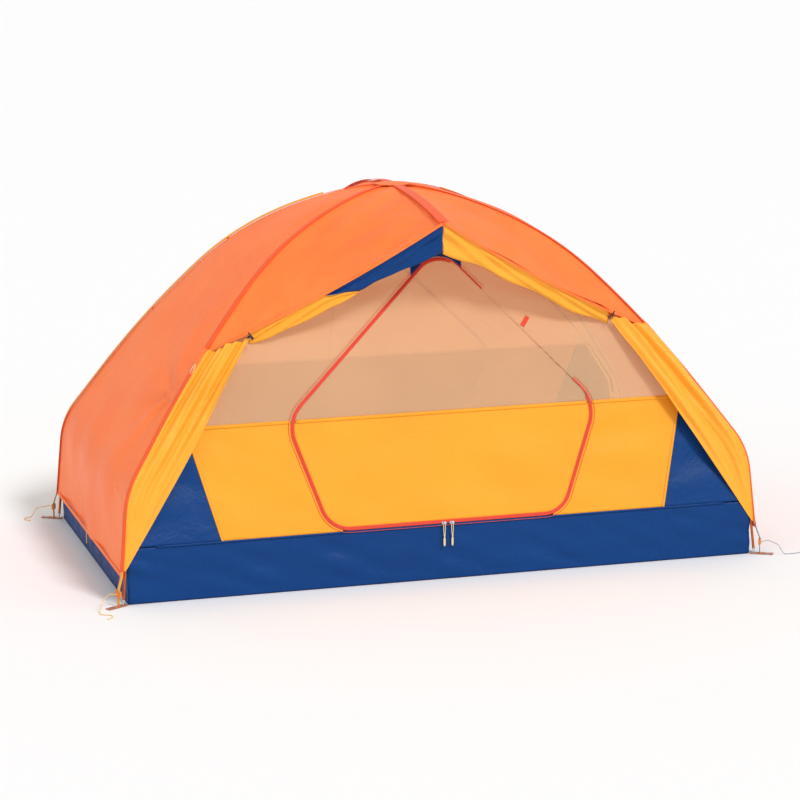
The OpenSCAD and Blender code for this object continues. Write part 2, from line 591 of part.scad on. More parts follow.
GUY_FR = [[1137, -656.5, 44], [1146, -661.5, 46], [1162.5, -656.5, 46], [1186, -683, 36],
    [1194, -686, 25], [1201, -688, 13], [1208, -689, 4], [1216, -690, 1.5], [1226, -691, 1.4], [1237, -691, 1.4], [1249, -690, 1.4],
    [1261, -688, 1.4], [1273, -685, 1.4], [1285, -681, 1.4], [1297, -677, 1.4], [1309, -674, 1.4]];
module guy_cord_front_left() { color("#efe08a") swept(GUY_FL, cord_r, 8); }
module guy_cord_rear_left() { color("#f2b52e") swept(GUY_RL, cord_r, 8); }
module guy_cord_front_right() { color("#9aa0a8") swept(GUY_FR, cord_r, 8); }

floor_sheet();
tub_walls();
corner_gussets();
lower_wall_panels();
wall_mesh_panels();
end_mesh_left();
end_mesh_right();
roof_mesh();
peak_patches();
wall_zip_tapes();
door_toggle_tabs();
front_door_lower();
front_door_mesh();
front_door_zip_tape();
rear_door_lower();
rear_door_mesh();
rear_door_zip_tape();
front_slider_left();
front_slider_right();
front_pull_left();
front_pull_right();
rear_slider_left();
rear_slider_right();
rear_pull_left();
rear_pull_right();
main_pole_a_sections();
main_pole_b_sections();
elbow_sections();
ridge_pole_sections();
pole_ferrules();
shock_cords();
pole_tips();
pole_clips();
peak_clip();
corner_tabs();
eyelets();
fly_end_left();
fly_end_right();
fly_awning_front();
fly_awning_rear();
front_flap_left();
front_flap_right();
front_flap_rolls();
front_vent_panel();
rear_shoulder_panels();
rear_vestibule_left();
rear_vestibule_right();
rear_fly_zip_tape();
rear_fly_slider();
corner_straps_left();
corner_straps_right();
ladder_locks();
tie_toggles();
hem_loops();
guy_cord_front_left();
guy_cord_rear_left();
guy_cord_front_right();
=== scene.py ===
"""Looks of the tent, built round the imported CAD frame. Metres, +Z up, front door towards -Y."""

import json
import math

import bpy
import numpy as np
from mathutils import Matrix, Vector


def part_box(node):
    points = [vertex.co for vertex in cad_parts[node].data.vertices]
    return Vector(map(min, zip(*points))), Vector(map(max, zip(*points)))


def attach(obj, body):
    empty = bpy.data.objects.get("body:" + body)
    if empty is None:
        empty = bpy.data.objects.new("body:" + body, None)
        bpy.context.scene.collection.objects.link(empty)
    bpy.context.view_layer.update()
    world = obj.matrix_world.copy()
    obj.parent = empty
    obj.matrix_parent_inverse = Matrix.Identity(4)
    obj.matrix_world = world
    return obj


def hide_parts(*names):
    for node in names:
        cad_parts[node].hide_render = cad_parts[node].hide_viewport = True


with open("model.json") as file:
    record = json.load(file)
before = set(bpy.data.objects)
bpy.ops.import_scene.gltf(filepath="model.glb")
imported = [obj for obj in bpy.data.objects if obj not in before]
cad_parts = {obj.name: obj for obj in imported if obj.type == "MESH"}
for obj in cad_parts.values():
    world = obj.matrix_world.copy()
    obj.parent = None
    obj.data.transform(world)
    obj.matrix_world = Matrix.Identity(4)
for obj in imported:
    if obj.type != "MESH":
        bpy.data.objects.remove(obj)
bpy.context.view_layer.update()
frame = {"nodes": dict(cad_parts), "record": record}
nodes = frame["nodes"]

# ---------------------------------------------------------------- sizes shared with the CAD part
FLOOR_L, FLOOR_W, TUB_H = 2.2, 1.27, 0.19
PEAK_H = 1.24
LEAN = math.radians(15.8)
LOWER_H = 0.555
FLY_GAP = 0.0115
RIDGE_HALF, FRONT_R, REAR_R = 0.6, 3.36, 2.05
RIDGE_Z = PEAK_H + 2 * 0.0104
RIDGE_TIP = RIDGE_HALF + 0.02
CLOTH = 0.0008
DIAG = math.atan2(FLOOR_W, FLOOR_L)
CORNER_RHO = math.hypot(FLOOR_L, FLOOR_W) / 2
WALL_Y = -(FLOOR_W / 2 + 0.006)


def corner_azimuth(sx, sy):
    return math.atan2(sy * math.sin(DIAG), sx * math.cos(DIAG))


def corner_tag(sx, sy):
    return ("l" if sx < 0 else "r") + ("f" if sy < 0 else "b")


def outward(sx, sy):
    """Unit vector from the middle of the floor to a corner."""
    az = corner_azimuth(sx, sy)
    return np.array([math.cos(az), math.sin(az), 0])


def tangent(sx, sy):
    """Unit vector along the ground, square to outward."""
    az = corner_azimuth(sx, sy)
    return np.array([-math.sin(az), math.cos(az), 0])


# ---------------------------------------------------------------- the pole's centreline
CROWN_R, HAUNCH_R, ELBOW_R = 1.06, 3.5, 0.25
A1, A2, A3 = (math.radians(a) for a in (42, 51, 84))
FOOT = np.array([CORNER_RHO + 0.015, 0.02])


def arc_end(a0, radius, a1):
    return radius * np.array([math.sin(a1) - math.sin(a0), math.cos(a1) - math.cos(a0)])


def straight(a):
    return np.array([math.cos(a), -math.sin(a)])


TOP = np.array([0.0, PEAK_H])
P1 = TOP + arc_end(0, CROWN_R, A1)
P2 = P1 + arc_end(A1, HAUNCH_R, A2)
LEFT_OVER = FOOT - P2 - arc_end(A2, ELBOW_R, A3)
UPPER_LEG, LOWER_LEG = np.linalg.solve(np.column_stack([straight(A2), straight(A3)]), LEFT_OVER)
P3 = P2 + UPPER_LEG * straight(A2)
P4 = P3 + arc_end(A2, ELBOW_R, A3)
LEN1 = CROWN_R * A1
LEN2 = LEN1 + HAUNCH_R * (A2 - A1)
LEN3 = LEN2 + UPPER_LEG
LEN4 = LEN3 + ELBOW_R * (A3 - A2)
HALF_LEN = LEN4 + LOWER_LEG
# Lengths along the pole from the peak: the fly's top edge, its shoulder and its hem
PEAK_S, SHOULDER_S, HEM_S = 0.034, 1.04, HALF_LEN - 0.074
PEAK_LIFT, PEAK_SPREAD = 0.019, 0.23


def fly_rz(s, off=0.0):
    """[distance from the axis, height] of the fly over the pole, s along it from the peak."""
    if s < LEN1:
        a = s / CROWN_R
        p = TOP + arc_end(0, CROWN_R, a)
    elif s < LEN2:
        a = A1 + (s - LEN1) / HAUNCH_R
        p = P1 + arc_end(A1, HAUNCH_R, a)
    elif s < LEN3:
        a = A2
        p = P2 + (s - LEN2) * straight(A2)
    elif s < LEN4:
        a = A2 + (s - LEN3) / ELBOW_R
        p = P3 + arc_end(A2, ELBOW_R, a)
    else:
        a = A3
        p = P4 + (s - LEN4) * straight(A3)
    lift = PEAK_LIFT * math.exp(-((s / PEAK_SPREAD) ** 2))
    return p + (FLY_GAP + off) * np.array([math.sin(a), math.cos(a)]) + [0, lift]


def fly_at(sx, sy, s, off=0.0):
    az = corner_azimuth(sx, sy)
    q = fly_rz(s, off)
    return np.array([q[0] * math.cos(az), q[0] * math.sin(az), q[1]])


def on_arc(y, radius, off=0.0):
    a = math.asin(y / radius)
    return np.array([0, (radius + off) * math.sin(a), RIDGE_Z - radius + (radius + off) * math.cos(a)])


def ridge_at(y, off=0.0):
    return on_arc(y, REAR_R if y > 0 else FRONT_R, off)


# ---------------------------------------------------------------- materials
def node_tree(name):
    m = bpy.data.materials.new(name)
    m.use_nodes = True
    nt = m.node_tree
    return m, nt, nt.nodes["Principled BSDF"]


def link(nt, a, b):
    nt.links.new(a, b)


def new(nt, kind, **values):
    n = nt.nodes.new(kind)
    for key, value in values.items():
        if hasattr(n, key):
            setattr(n, key, value)
        else:
            n.inputs[key.replace("_", " ")].default_value = value
    return n


def tint(color, k):
    return tuple(min(1.0, c * k) for c in color[:3]) + (1.0,)


WAVE_PER_METRE = 0.314  # a wave texture of this scale repeats once a metre


def fabric(name, color, rough, sheen, grid=0.005, crease=0.25, glow=0.0, alpha=1.0, gloss=0.3, highlight_color=None):
    """Woven cloth: a ripstop grid in the cloth's own metres, small creases, painted sheen as random patches that
    lighten the colour towards a highlight colour, and a glow that paints in the daylight through thin cloth.
    """
    m, nt, b = node_tree(name)
    uv = new(nt, "ShaderNodeTexCoord")
    height = None
    for axis in ("X", "Y"):
        wave = new(nt, "ShaderNodeTexWave", bands_direction=axis, Scale=WAVE_PER_METRE / grid)
        ramp = new(nt, "ShaderNodeMapRange")
        ramp.inputs["From Min"].default_value = 0.8
        link(nt, uv.outputs["UV"], wave.inputs["Vector"])
        link(nt, wave.outputs["Fac"], ramp.inputs["Value"])
        if height is None:
            height = ramp.outputs["Result"]
        else:
            add = new(nt, "ShaderNodeMath", operation="MAXIMUM")
            link(nt, height, add.inputs[0])
            link(nt, ramp.outputs["Result"], add.inputs[1])
            height = add.outputs[0]
    fine = new(nt, "ShaderNodeTexNoise", Scale=900.0, Detail=2.0)
    crumple = new(nt, "ShaderNodeTexNoise", Scale=9.0, Detail=5.0, Roughness=0.62, Distortion=0.8)
    # Painted sheen: large noise patches lighten the cloth towards the highlight colour, standing in for light
    # shining off creased cloth
    painted_sheen_noise = new(nt, "ShaderNodeTexNoise", Scale=4.0, Detail=3.0)
    link(nt, uv.outputs["UV"], fine.inputs["Vector"])
    link(nt, uv.outputs["Object"], crumple.inputs["Vector"])
    link(nt, uv.outputs["Object"], painted_sheen_noise.inputs["Vector"])
    mix = new(nt, "ShaderNodeMix", data_type="RGBA")
    mix.inputs["A"].default_value = tint(color, 0.9)
    mix.inputs["B"].default_value = tint(highlight_color or color, 1.1)
    link(nt, painted_sheen_noise.outputs["Fac"], mix.inputs["Factor"])
    threads = new(nt, "ShaderNodeMix", data_type="RGBA", blend_type="MULTIPLY")
    threads.inputs["B"].default_value = (0.86, 0.86, 0.86, 1)
    weak = new(nt, "ShaderNodeMath", operation="MULTIPLY")
    weak.inputs[1].default_value = 0.45
    link(nt, height, weak.inputs[0])
    link(nt, weak.outputs[0], threads.inputs["Factor"])
    link(nt, mix.outputs["Result"], threads.inputs["A"])
    link(nt, threads.outputs["Result"], b.inputs["Base Color"])
    normal = None
    for source, strength, distance in (
        (crumple.outputs["Fac"], crease, 0.02),
        (height, 0.25, 0.0003),
        (fine.outputs["Fac"], 0.2, 0.0002),
    ):
        bump = new(nt, "ShaderNodeBump", Strength=strength, Distance=distance)
        link(nt, source, bump.inputs["Height"])
        if normal is not None:
            link(nt, normal, bump.inputs["Normal"])
        normal = bump.outputs["Normal"]
    link(nt, normal, b.inputs["Normal"])
    rough_noise = new(nt, "ShaderNodeMapRange")
    rough_noise.inputs["To Min"].default_value = rough - 0.07
    rough_noise.inputs["To Max"].default_value = rough + 0.07
    link(nt, crumple.outputs["Fac"], rough_noise.inputs["Value"])
    link(nt, rough_noise.outputs["Result"], b.inputs["Roughness"])
    b.inputs["Sheen Weight"].default_value = sheen
    b.inputs["Sheen Roughness"].default_value = 0.4
    b.inputs["Specular IOR Level"].default_value = gloss
    b.inputs["Alpha"].default_value = alpha
    if glow:
        # Stands in for the daylight that comes through thin cloth
        b.inputs["Emission Color"].default_value = tint(color, 1.0)
        b.inputs["Emission Strength"].default_value = glow
    return m


def webbing(name, color, rib=0.0016):
    """Woven tape or braided cord with slanted ribs."""
    m, nt, b = node_tree(name)
    uv = new(nt, "ShaderNodeTexCoord")
    wave = new(nt, "ShaderNodeTexWave", bands_direction="DIAGONAL", Scale=WAVE_PER_METRE / rib, Distortion=0.6)
    link(nt, uv.outputs["Object"], wave.inputs["Vector"])
    noise = new(nt, "ShaderNodeTexNoise", Scale=160.0, Detail=3.0)
    link(nt, uv.outputs["Object"], noise.inputs["Vector"])
    mix = new(nt, "ShaderNodeMix", data_type="RGBA")
    mix.inputs["A"].default_value = tint(color, 0.8)
    mix.inputs["B"].default_value = tint(color, 1.12)
    link(nt, noise.outputs["Fac"], mix.inputs["Factor"])
    link(nt, mix.outputs["Result"], b.inputs["Base Color"])
    bump = new(nt, "ShaderNodeBump", Strength=0.5, Distance=0.0004)
    link(nt, wave.outputs["Fac"], bump.inputs["Height"])
    link(nt, bump.outputs["Normal"], b.inputs["Normal"])
    b.inputs["Roughness"].default_value = 0.75
    b.inputs["Sheen Weight"].default_value = 0.3
    return m


def hard(name, color, rough, metal=0.0, grain=300.0):
    """Moulded plastic or anodised metal with a fine uneven finish."""
    m, nt, b = node_tree(name)
    co = new(nt, "ShaderNodeTexCoord")
    noise = new(nt, "ShaderNodeTexNoise", Scale=grain, Detail=4.0)
    link(nt, co.outputs["Object"], noise.inputs["Vector"])
    mix = new(nt, "ShaderNodeMix", data_type="RGBA")
    mix.inputs["A"].default_value = tint(color, 0.88)
    mix.inputs["B"].default_value = tint(color, 1.08)
    link(nt, noise.outputs["Fac"], mix.inputs["Factor"])
    link(nt, mix.outputs["Result"], b.inputs["Base Color"])
    rng = new(nt, "ShaderNodeMapRange")
    rng.inputs["To Min"].default_value = rough - 0.06
    rng.inputs["To Max"].default_value = rough + 0.08
    link(nt, noise.outputs["Fac"], rng.inputs["Value"])
    link(nt, rng.outputs["Result"], b.inputs["Roughness"])
    bump = new(nt, "ShaderNodeBump", Strength=0.12, Distance=0.0002)
    link(nt, noise.outputs["Fac"], bump.inputs["Height"])
    link(nt, bump.outputs["Normal"], b.inputs["Normal"])
    b.inputs["Metallic"].default_value = metal
    return m


# The orange's lighter, yellower highlight colour is painted sheen, and its glow is painted daylight coming through
# the cloth
ORANGE = fabric("orange_fly", (1.0, 0.165, 0.032), 0.45, 0.0, glow=0.11, crease=0.5, highlight_color=(1.0, 0.22, 0.05),
                gloss=0.2)
ORANGE_SEAM = fabric("orange_seam", (0.95, 0.105, 0.018), 0.45, 0.02, crease=0.3)
YELLOW = fabric("yellow_fly", (0.92, 0.385, 0.03), 0.5, 0.03, glow=0.05, crease=0.4)
YELLOW_WALL = fabric("yellow_wall", (0.90, 0.345, 0.015), 0.6, 0.03, glow=0.03, crease=0.2)
BLUE = fabric("blue_tub", (0.002, 0.044, 0.19), 0.45, 0.0, crease=0.4, gloss=0.16)
MESH = fabric("tan_mesh", (0.88, 0.55, 0.32), 0.85, 0.05, grid=0.002, crease=0.1, glow=0.2, alpha=0.33)
# Painted light: a brighter yellow with a stronger glow, for the daylight that shines through the closed rear
# vestibule
YELLOW_REAR_LIT = fabric("yellow_rear_lit", (0.97, 0.43, 0.04), 0.5, 0.06, glow=0.2, crease=0.25)
RED = webbing("red_tape", (0.80, 0.055, 0.02))
RUST = webbing("rust_webbing", (0.55, 0.13, 0.02))
AMBER_WEB = webbing("yellow_webbing", (0.90, 0.38, 0.03))
NAVY_WEB = webbing("navy_webbing", (0.012, 0.02, 0.06))
CREAM = webbing("cream_cord", (0.85, 0.68, 0.36), 0.001)
YELLOW_CORD = webbing("yellow_cord", (0.90, 0.55, 0.10), 0.001)
GREY_CORD = webbing("grey_cord", (0.30, 0.34, 0.40), 0.001)
ELASTIC = webbing("black_elastic", (0.02, 0.015, 0.015), 0.001)
POLE = hard("pole_grey", (0.05, 0.055, 0.065), 0.3, 0.85, 120)
ELBOW = hard("elbow_orange", (0.60, 0.14, 0.03), 0.32, 0.8, 120)
METAL = hard("bare_metal", (0.72, 0.73, 0.75), 0.28, 1.0, 200)
BLACK = hard("black_plastic", (0.018, 0.014, 0.014), 0.45)
AMBER = hard("amber_plastic", (0.75, 0.22, 0.02), 0.4)

SLOT_LOOKS = {
    "orange_cloth": ORANGE, "yellow_cloth": YELLOW, "blue_cloth": BLUE, "mesh_cloth": MESH,
    "red_tape": RED, "rust_webbing": RUST, "yellow_webbing": AMBER_WEB, "navy_webbing": NAVY_WEB,
    "cream_cord": CREAM, "grey_cord": GREY_CORD, "elastic": CREAM, "pole_metal": POLE,
    "elbow_metal": ELBOW, "bare_metal": METAL, "plated_metal": METAL, "black_plastic": BLACK,
    "amber_plastic": AMBER,
}
slot_of = {s["node"]: s["material_slot"] for s in frame["record"]["subparts"]}
for node_name, obj in nodes.items():
    look = SLOT_LOOKS[slot_of[node_name]]
    if not obj.material_slots:
        obj.data.materials.append(look)
    for material_slot in obj.material_slots:
        material_slot.material = look


# ---------------------------------------------------------------- mesh helpers
CRINKLE_WAVES = 9


def crinkle(u, v, size, seed):
    """Uneven waves about `size` metres long, between about -1 and 1."""
    rng = np.random.default_rng(seed)
    total = np.zeros_like(u, dtype=float)
    for _ in range(CRINKLE_WAVES):
        a, phase, k = rng.uniform(0, math.pi), rng.uniform(0, 2 * math.pi), rng.uniform(0.7, 1.5)
        arg = 2 * math.pi * (u * math.cos(a) + v * math.sin(a)) / (size * k) + phase
        total += np.sin(arg)
    return total / math.sqrt(CRINKLE_WAVES)


def pulls(grid, point, count, reach, seed=0):
    """Folds that fan out from a point where the cloth is held."""
    d = grid - np.array(point)
    r = np.linalg.norm(d, axis=-1)
    a = np.arctan2(d[..., 2], np.hypot(d[..., 0], d[..., 1]) * np.sign(d[..., 0] + 1e-9))
    return np.sin(count * a + seed) * np.exp(-r / reach) * np.minimum(1, r / (0.25 * reach))


def normals(grid):
    n = np.cross(np.gradient(grid, axis=0), np.gradient(grid, axis=1))
    return n / np.maximum(np.linalg.norm(n, axis=-1, keepdims=True), 1e-9)


def lengths(grid):
    """Distance along rows and along columns, as the cloth's own coordinates."""
    step_u = np.linalg.norm(np.diff(grid, axis=0), axis=-1)
    step_v = np.linalg.norm(np.diff(grid, axis=1), axis=-1)
    u = np.vstack([np.zeros(grid.shape[1]), np.cumsum(step_u, axis=0)])
    v = np.hstack([np.zeros((grid.shape[0], 1)), np.cumsum(step_v, axis=1)])
    return u, v


def grid_object(name, grid, material, thick):
    """A surface through a grid of points, with its own lengths as UV metres and a thickness."""
    n, m = grid.shape[:2]
    index = np.arange(n * m).reshape(n, m)
    faces = np.stack([index[:-1, :-1], index[1:, :-1], index[1:, 1:], index[:-1, 1:]], -1).reshape(-1, 4)
    mesh = bpy.data.meshes.new(name)
    mesh.from_pydata(grid.reshape(-1, 3).tolist(), [], faces.tolist())
    u, v = (c.reshape(-1) for c in lengths(grid))
    layer = mesh.uv_layers.new(name="cloth")
    for loop in mesh.loops:
        layer.data[loop.index].uv = (u[loop.vertex_index], v[loop.vertex_index])
    mesh.materials.append(material)
    mesh.shade_smooth()
    obj = bpy.data.objects.new(name, mesh)
    bpy.context.scene.collection.objects.link(obj)
    solid = obj.modifiers.new("thickness", "SOLIDIFY")
    solid.thickness, solid.offset = thick, 0
    return obj


def cloth(name, grid, material, replaced=(), body="tent",
          shape=None):
    """One panel: its grid pushed along its normals by shape and riding on a body."""
    grid = np.array(grid, float)
    if shape is not None:
        grid = grid + normals(grid) * shape[..., None]
    obj = grid_object(name, grid, material, CLOTH)
    u, v = lengths(grid)
    width, length = float(u[-1].max()), float(v[:, -1].max())
    area = sum(p.area for p in obj.data.polygons)
    if width * length < area:
        length = area / width
    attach(obj, body)
    if replaced:
        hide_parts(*replaced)
    return obj


def ribbon(name, path, across, width, material, body="tent", thick=CLOTH, columns=3, replaced=()):
    """A narrow tape along a path. across gives its width direction at each point of the path."""
    path, across = np.array(path, float), np.array(across, float)
    if across.ndim == 1:
        across = np.repeat(across[None], len(path), 0)
    across = across / np.linalg.norm(across, axis=1, keepdims=True)
    run = np.gradient(path, axis=0)
    n = np.cross(run, across)
    n = n / np.maximum(np.linalg.norm(n, axis=1, keepdims=True), 1e-9)
    w = np.linspace(-0.5, 0.5, columns)
    bulge = 0.0003 * (1 - (2 * w) ** 2)
    grid = path[:, None] + across[:, None] * (w * width)[None, :, None] + n[:, None] * bulge[None, :, None]
    obj = grid_object(name, grid, material, thick)
    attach(obj, body)
    if replaced:
        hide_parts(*replaced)
    return obj


def line(name, points, radius, material, body="tent", closed=False, replaced=()):
    """A round cord through the points given."""
    curve = bpy.data.curves.new(name, "CURVE")
    curve.dimensions, curve.bevel_depth, curve.bevel_resolution = "3D", radius, 4
    curve.use_fill_caps = True
    spline = curve.splines.new("POLY")
    spline.points.add(len(points) - 1)
    for p, q in zip(spline.points, points):
        p.co = (*[float(c) for c in q], 1)
    spline.use_cyclic_u = closed
    curve.materials.append(material)
    obj = bpy.data.objects.new(name, curve)
    bpy.context.scene.collection.objects.link(obj)
    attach(obj, body)
    if replaced:
        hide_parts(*replaced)
    return obj


def smooth_path(points):
    """Catmull-Rom through the points."""
    p = np.array(points, float)
    p = np.vstack([2 * p[0] - p[1], p, 2 * p[-1] - p[-2]])
    out = []
    for i in range(1, len(p) - 2):
        for t in np.linspace(0, 1, 5, endpoint=False):
            a, b, c, d = p[i - 1], p[i], p[i + 1], p[i + 2]
            square, cube = 2 * a - 5 * b + 4 * c - d, 3 * b - a - 3 * c + d
            out.append(0.5 * (2 * b + (c - a) * t + square * t**2 + cube * t**3))
    return np.array(out + [p[-2]])


def lerp(a, b, t):
    return a + (b - a) * t


def fade(t):
    """0 at both ends of 0..1 and 1 between, for cloth held at its edges."""
    return np.clip(6 * t * (1 - t), 0, 1)


# ---------------------------------------------------------------- fly: ends, awnings and their seams
GUY_OUT = np.array([0.92, -0.42, 0.66])  # where the right end's cloth is pulled; the left mirrors it
SIDES = ((-1, "left"), (1, "right"))


def fly_end(sx, side_name):
    rows = []
    ss = np.concatenate([np.linspace(PEAK_S, LEN3, 90), np.linspace(LEN3 + 0.01, HEM_S, 60)])
    vs = np.linspace(-1, 1, 70)
    for s in ss:
        q = fly_rz(s)
        half = q[0] * math.sin(DIAG) - 0.0025
        rows.append([[sx * q[0] * math.cos(DIAG), v * half, q[1]] for v in vs])
    grid = np.array(rows)
    u, v = lengths(grid)
    t = (ss[:, None] - PEAK_S) / (HEM_S - PEAK_S) * np.ones_like(u)
    edge = fade((vs[None, :] + 1) / 2 * np.ones_like(u))
    flat = -0.008 * edge * fade(t)
    soft = 0.0045 * edge * crinkle(u * 0.7, v * 0.35, 0.3, 3 if sx < 0 else 4)
    fan = 0.013 * pulls(grid, GUY_OUT * [sx, 1, 1], 9, 0.22) * edge
    low = 0.004 * edge * np.clip((t - 0.6) * 2.5, 0, 1) * np.sin(v * 17 + 2 * np.sin(u * 4))
    return cloth(f"fly_end_{side_name}_cloth", grid, ORANGE, [f"fly_end_{side_name}"],
                 shape=-sx * (flat + soft + fan + low))


for sx, side_name in SIDES:
    fly_end(sx, side_name)


AWNING_SAG = 0.022
TIE_V = 0.19  # where the toggle sits along the brow
TURN = np.array([-1, -1, 1])  # half a turn about the upright axis: front to rear


def awning_at(sx, u, v, radius=FRONT_R):
    """The fly's front top: u from the peak out to the brow, v from the pole to the ridge."""
    pole = fly_at(sx, -1, lerp(PEAK_S, SHOULDER_S, u))
    ridge = on_arc(-u * RIDGE_TIP, radius, 0.009)
    return lerp(pole, ridge, v) - np.array([0, 0, AWNING_SAG * u * 4 * v * (1 - v)])


def awning(sx, back):
    us, vs = np.linspace(0.05, 1, 70), np.linspace(0, 1, 56)
    radius = REAR_R if back else FRONT_R
    grid = np.array([[awning_at(sx, u, lerp(0.004 / u, 1 - 0.004 / u, v), radius) for v in vs] for u in us])
    u, v = lengths(grid)
    edge = fade(vs[None, :] * np.ones_like(u))
    strain = 0.0045 * edge * crinkle(u * 0.5, v, 0.2, 11 + sx)
    brow, tie = awning_at(sx, 1, 1, radius), awning_at(sx, 1, TIE_V, radius)
    fan = edge * (0.010 * pulls(grid, tie, 11, 0.18) + 0.008 * pulls(grid, brow, 26, 0.3, 1.0))
    if back:
        grid = grid * TURN
    face = "rear" if back else "front"
    name = f"fly_{face}_{'left' if (sx < 0) != back else 'right'}_cloth"
    replaced = [f"fly_awning_{face}"] if sx < 0 else []
    return cloth(name, grid, ORANGE, replaced, shape=strain + fan)


for back in (False, True):
    for sx in (-1, 1):
        awning(sx, back)

# Felled seams over the poles, a yellow edging behind the rear ones, and the band over the ridge pole
for sx, side_name in SIDES:
    for sy in (-1, 1):
        ss = np.linspace(0.02, HEM_S, 120)
        path = [fly_at(sx, sy, s, 0.0022) for s in ss]
        across = tangent(sx, sy)
        ribbon(f"pole_seam_{corner_tag(sx, sy)}", path, across, 0.018, ORANGE_SEAM, columns=5)
    edging = [fly_at(sx, 1, s, 0.0035) + np.array([-sx * 0.002, 0.012, 0])
              for s in np.linspace(0.25, HEM_S, 100)]
    ribbon(f"rear_edging_{side_name}", edging, [0, 0.9, 0.4], 0.012, YELLOW)
ridge_path = [ridge_at(y, 0.0125) for y in np.linspace(-RIDGE_TIP, RIDGE_TIP, 80)]
ribbon("ridge_band", ridge_path, [1, 0, 0], 0.036, ORANGE_SEAM, columns=5)

# Bound hems of the end panels
END_TAPE = 0.012
for sx, side_name in SIDES:
    q = fly_rz(HEM_S)
    half = q[0] * math.sin(DIAG) - 0.004
    path = [[sx * (q[0] * math.cos(DIAG) + 0.002), y, q[1] + 0.005] for y in np.linspace(-half, half, 60)]
    ribbon(f"end_hem_{side_name}", path, [-sx * 0.1, 0, 0.99], END_TAPE, ORANGE)

# Cross seams of the end panels
END_SEAM_S = 0.64
for sx, side_name in SIDES:
    q = fly_rz(END_SEAM_S)
    half = q[0] * math.sin(DIAG) - 0.004
    path = [[sx * (q[0] * math.cos(DIAG) + 0.001), y, q[1] - 0.008 * fade((y / half + 1) / 2) + 0.0022]
            for y in np.linspace(-half, half, 60)]
    ribbon(f"end_seam_{side_name}", path, [-sx * 0.8, 0, 0.6], END_TAPE, ORANGE)


# Guy-out points on the front pole seams: a stitched patch and a cord loop
GUY_S = {"left": 1.09, "right": 1.08}
for sx, side_name in SIDES:
    radial, along = outward(sx, -1), tangent(sx, -1)
    base = fly_at(sx, -1, GUY_S[side_name], 0.003)
    step = fly_at(sx, -1, GUY_S[side_name] + 0.02, 0.003) - base
    patch = np.array([[base + step * (k * 2.2 - 1.1) + along * w * (0.034 - 0.02 * abs(k))
                       for w in np.linspace(-0.5, 0.5, 12)] for k in np.linspace(-1, 1, 20)])
    cloth(f"guy_patch_{side_name}", patch, ORANGE,
          shape=0.0006 * crinkle(*lengths(patch), 0.03, 17))
    loop = [base + radial * (0.003 + 0.012 * (1 - math.cos(a))) + along * 0.006 * math.sin(a)
            + np.array([0, 0, -0.016 * (1 - math.cos(a))]) for a in np.linspace(0, 2 * math.pi, 26, endpoint=False)]
    line(f"guy_loop_{side_name}", loop, 0.0013, CREAM, closed=True)


# A round reinforcement sewn over the peak
CAP_R, CAP_Z, CAP_DROP = PEAK_S + 0.028, PEAK_H + FLY_GAP + 0.0245, 0.004
ring = np.array([[CAP_R * k * np.array([math.cos(a), math.sin(a), 0]) + [0, 0, CAP_Z - CAP_DROP * k * k]
                  for a in np.linspace(0, 2 * math.pi, 49)] for k in np.linspace(0.02, 1, 14)])
cloth("peak_cap_cloth", ring, ORANGE)

# ---------------------------------------------------------------- fly: tied-back front
def tie_point(sx):
    return awning_at(sx, 1, TIE_V) + np.array([0, -0.006, -0.014])


def flap(sx, side_name):
    ts, vs = np.linspace(0.0, 0.975, 90), np.linspace(0, 1, 60)
    tie = tie_point(sx)
    rows = []
    for t in ts:
        bow = math.sin(math.pi * t)
        outer = fly_at(sx, -1, lerp(SHOULDER_S, HEM_S, t)) + np.array([-sx * 0.001, -0.0025 - 0.006 * bow, 0])
        hem = fly_at(sx, -1, HEM_S - 0.004)
        inner = lerp(tie, hem, t) + np.array([-sx * 0.006 * bow, -0.006 - 0.024 * bow, 0.008 * bow])
        rows.append([lerp(outer, inner, v) for v in vs])
    grid = np.array(rows)
    v = vs[None, :] * np.ones((len(ts), 1))
    t = ts[:, None] * np.ones((1, len(vs)))
    gather = np.exp(-t / 0.16)
    body = np.sin(math.pi * np.clip(t, 0, 1)) ** 0.7
    folds = (0.021 * body + 0.009 * gather) * np.sin(2 * math.pi * (1.9 * v**0.85 + 0.4 * np.sin(2.6 * t + sx)))
    small = 0.005 * (body + gather) * np.sin(2 * math.pi * (5.1 * v + 0.9 * t) + 1.3)
    fine = 0.0028 * crinkle(t * 0.9, v * 0.3, 0.2, 21 + sx)
    hold = np.clip(v * 8, 0, 1)
    curl = 0.014 * np.clip((v - 0.86) / 0.14, 0, 1) ** 2 * body
    outward_bias = 0.011 * body
    drape = (folds + small + fine - curl - outward_bias) * (1.0 - t) ** 1.1
    return cloth(f"front_flap_{side_name}_cloth", grid, YELLOW, [f"front_flap_{side_name}"],
                 shape=sx * hold * drape)


for sx, side_name in SIDES:
    flap(sx, side_name)


def strip_depth(v):
    x = (v - TIE_V) / (1 - TIE_V)
    return 0.046 + 0.014 * min(1, 4 * x) + 0.055 * x**5


ROLL_FROM = 0.86  # the share of the strip's depth below which it rolls back


def strip_grid(sx, v0, v1, w_low, w_high, columns=110, rows=26):
    """The band that hangs from the seam, between two shares of its depth; its foot rolls back."""
    grid = []
    for v in np.linspace(v0, v1, columns):
        seam, depth = awning_at(sx, 1, v), strip_depth(v)
        lo, hi = w_low(v), w_high(v)
        column = []
        for k in np.linspace(0, 1, rows):
            w = lerp(lo, hi, k)
            down = min(w, ROLL_FROM)
            roll = max(0.0, w - ROLL_FROM) / (1 - ROLL_FROM) * math.pi
            column.append(seam + np.array([0, 0.004 + 0.012 * w + 0.006 * (1 - math.cos(roll)),
                                           -0.003 - down * depth - 0.006 * math.sin(roll)]))
        grid.append(column)
    return np.array(grid)


def blue_share(v):
    return min(1.0, max(0.02, (v - 0.5) / 0.17))


def full(_):
    return 1.0


def none(_):
    return 0.0


def left_top(v):
    return blue_share(v) if v > 0.5 else 0.0


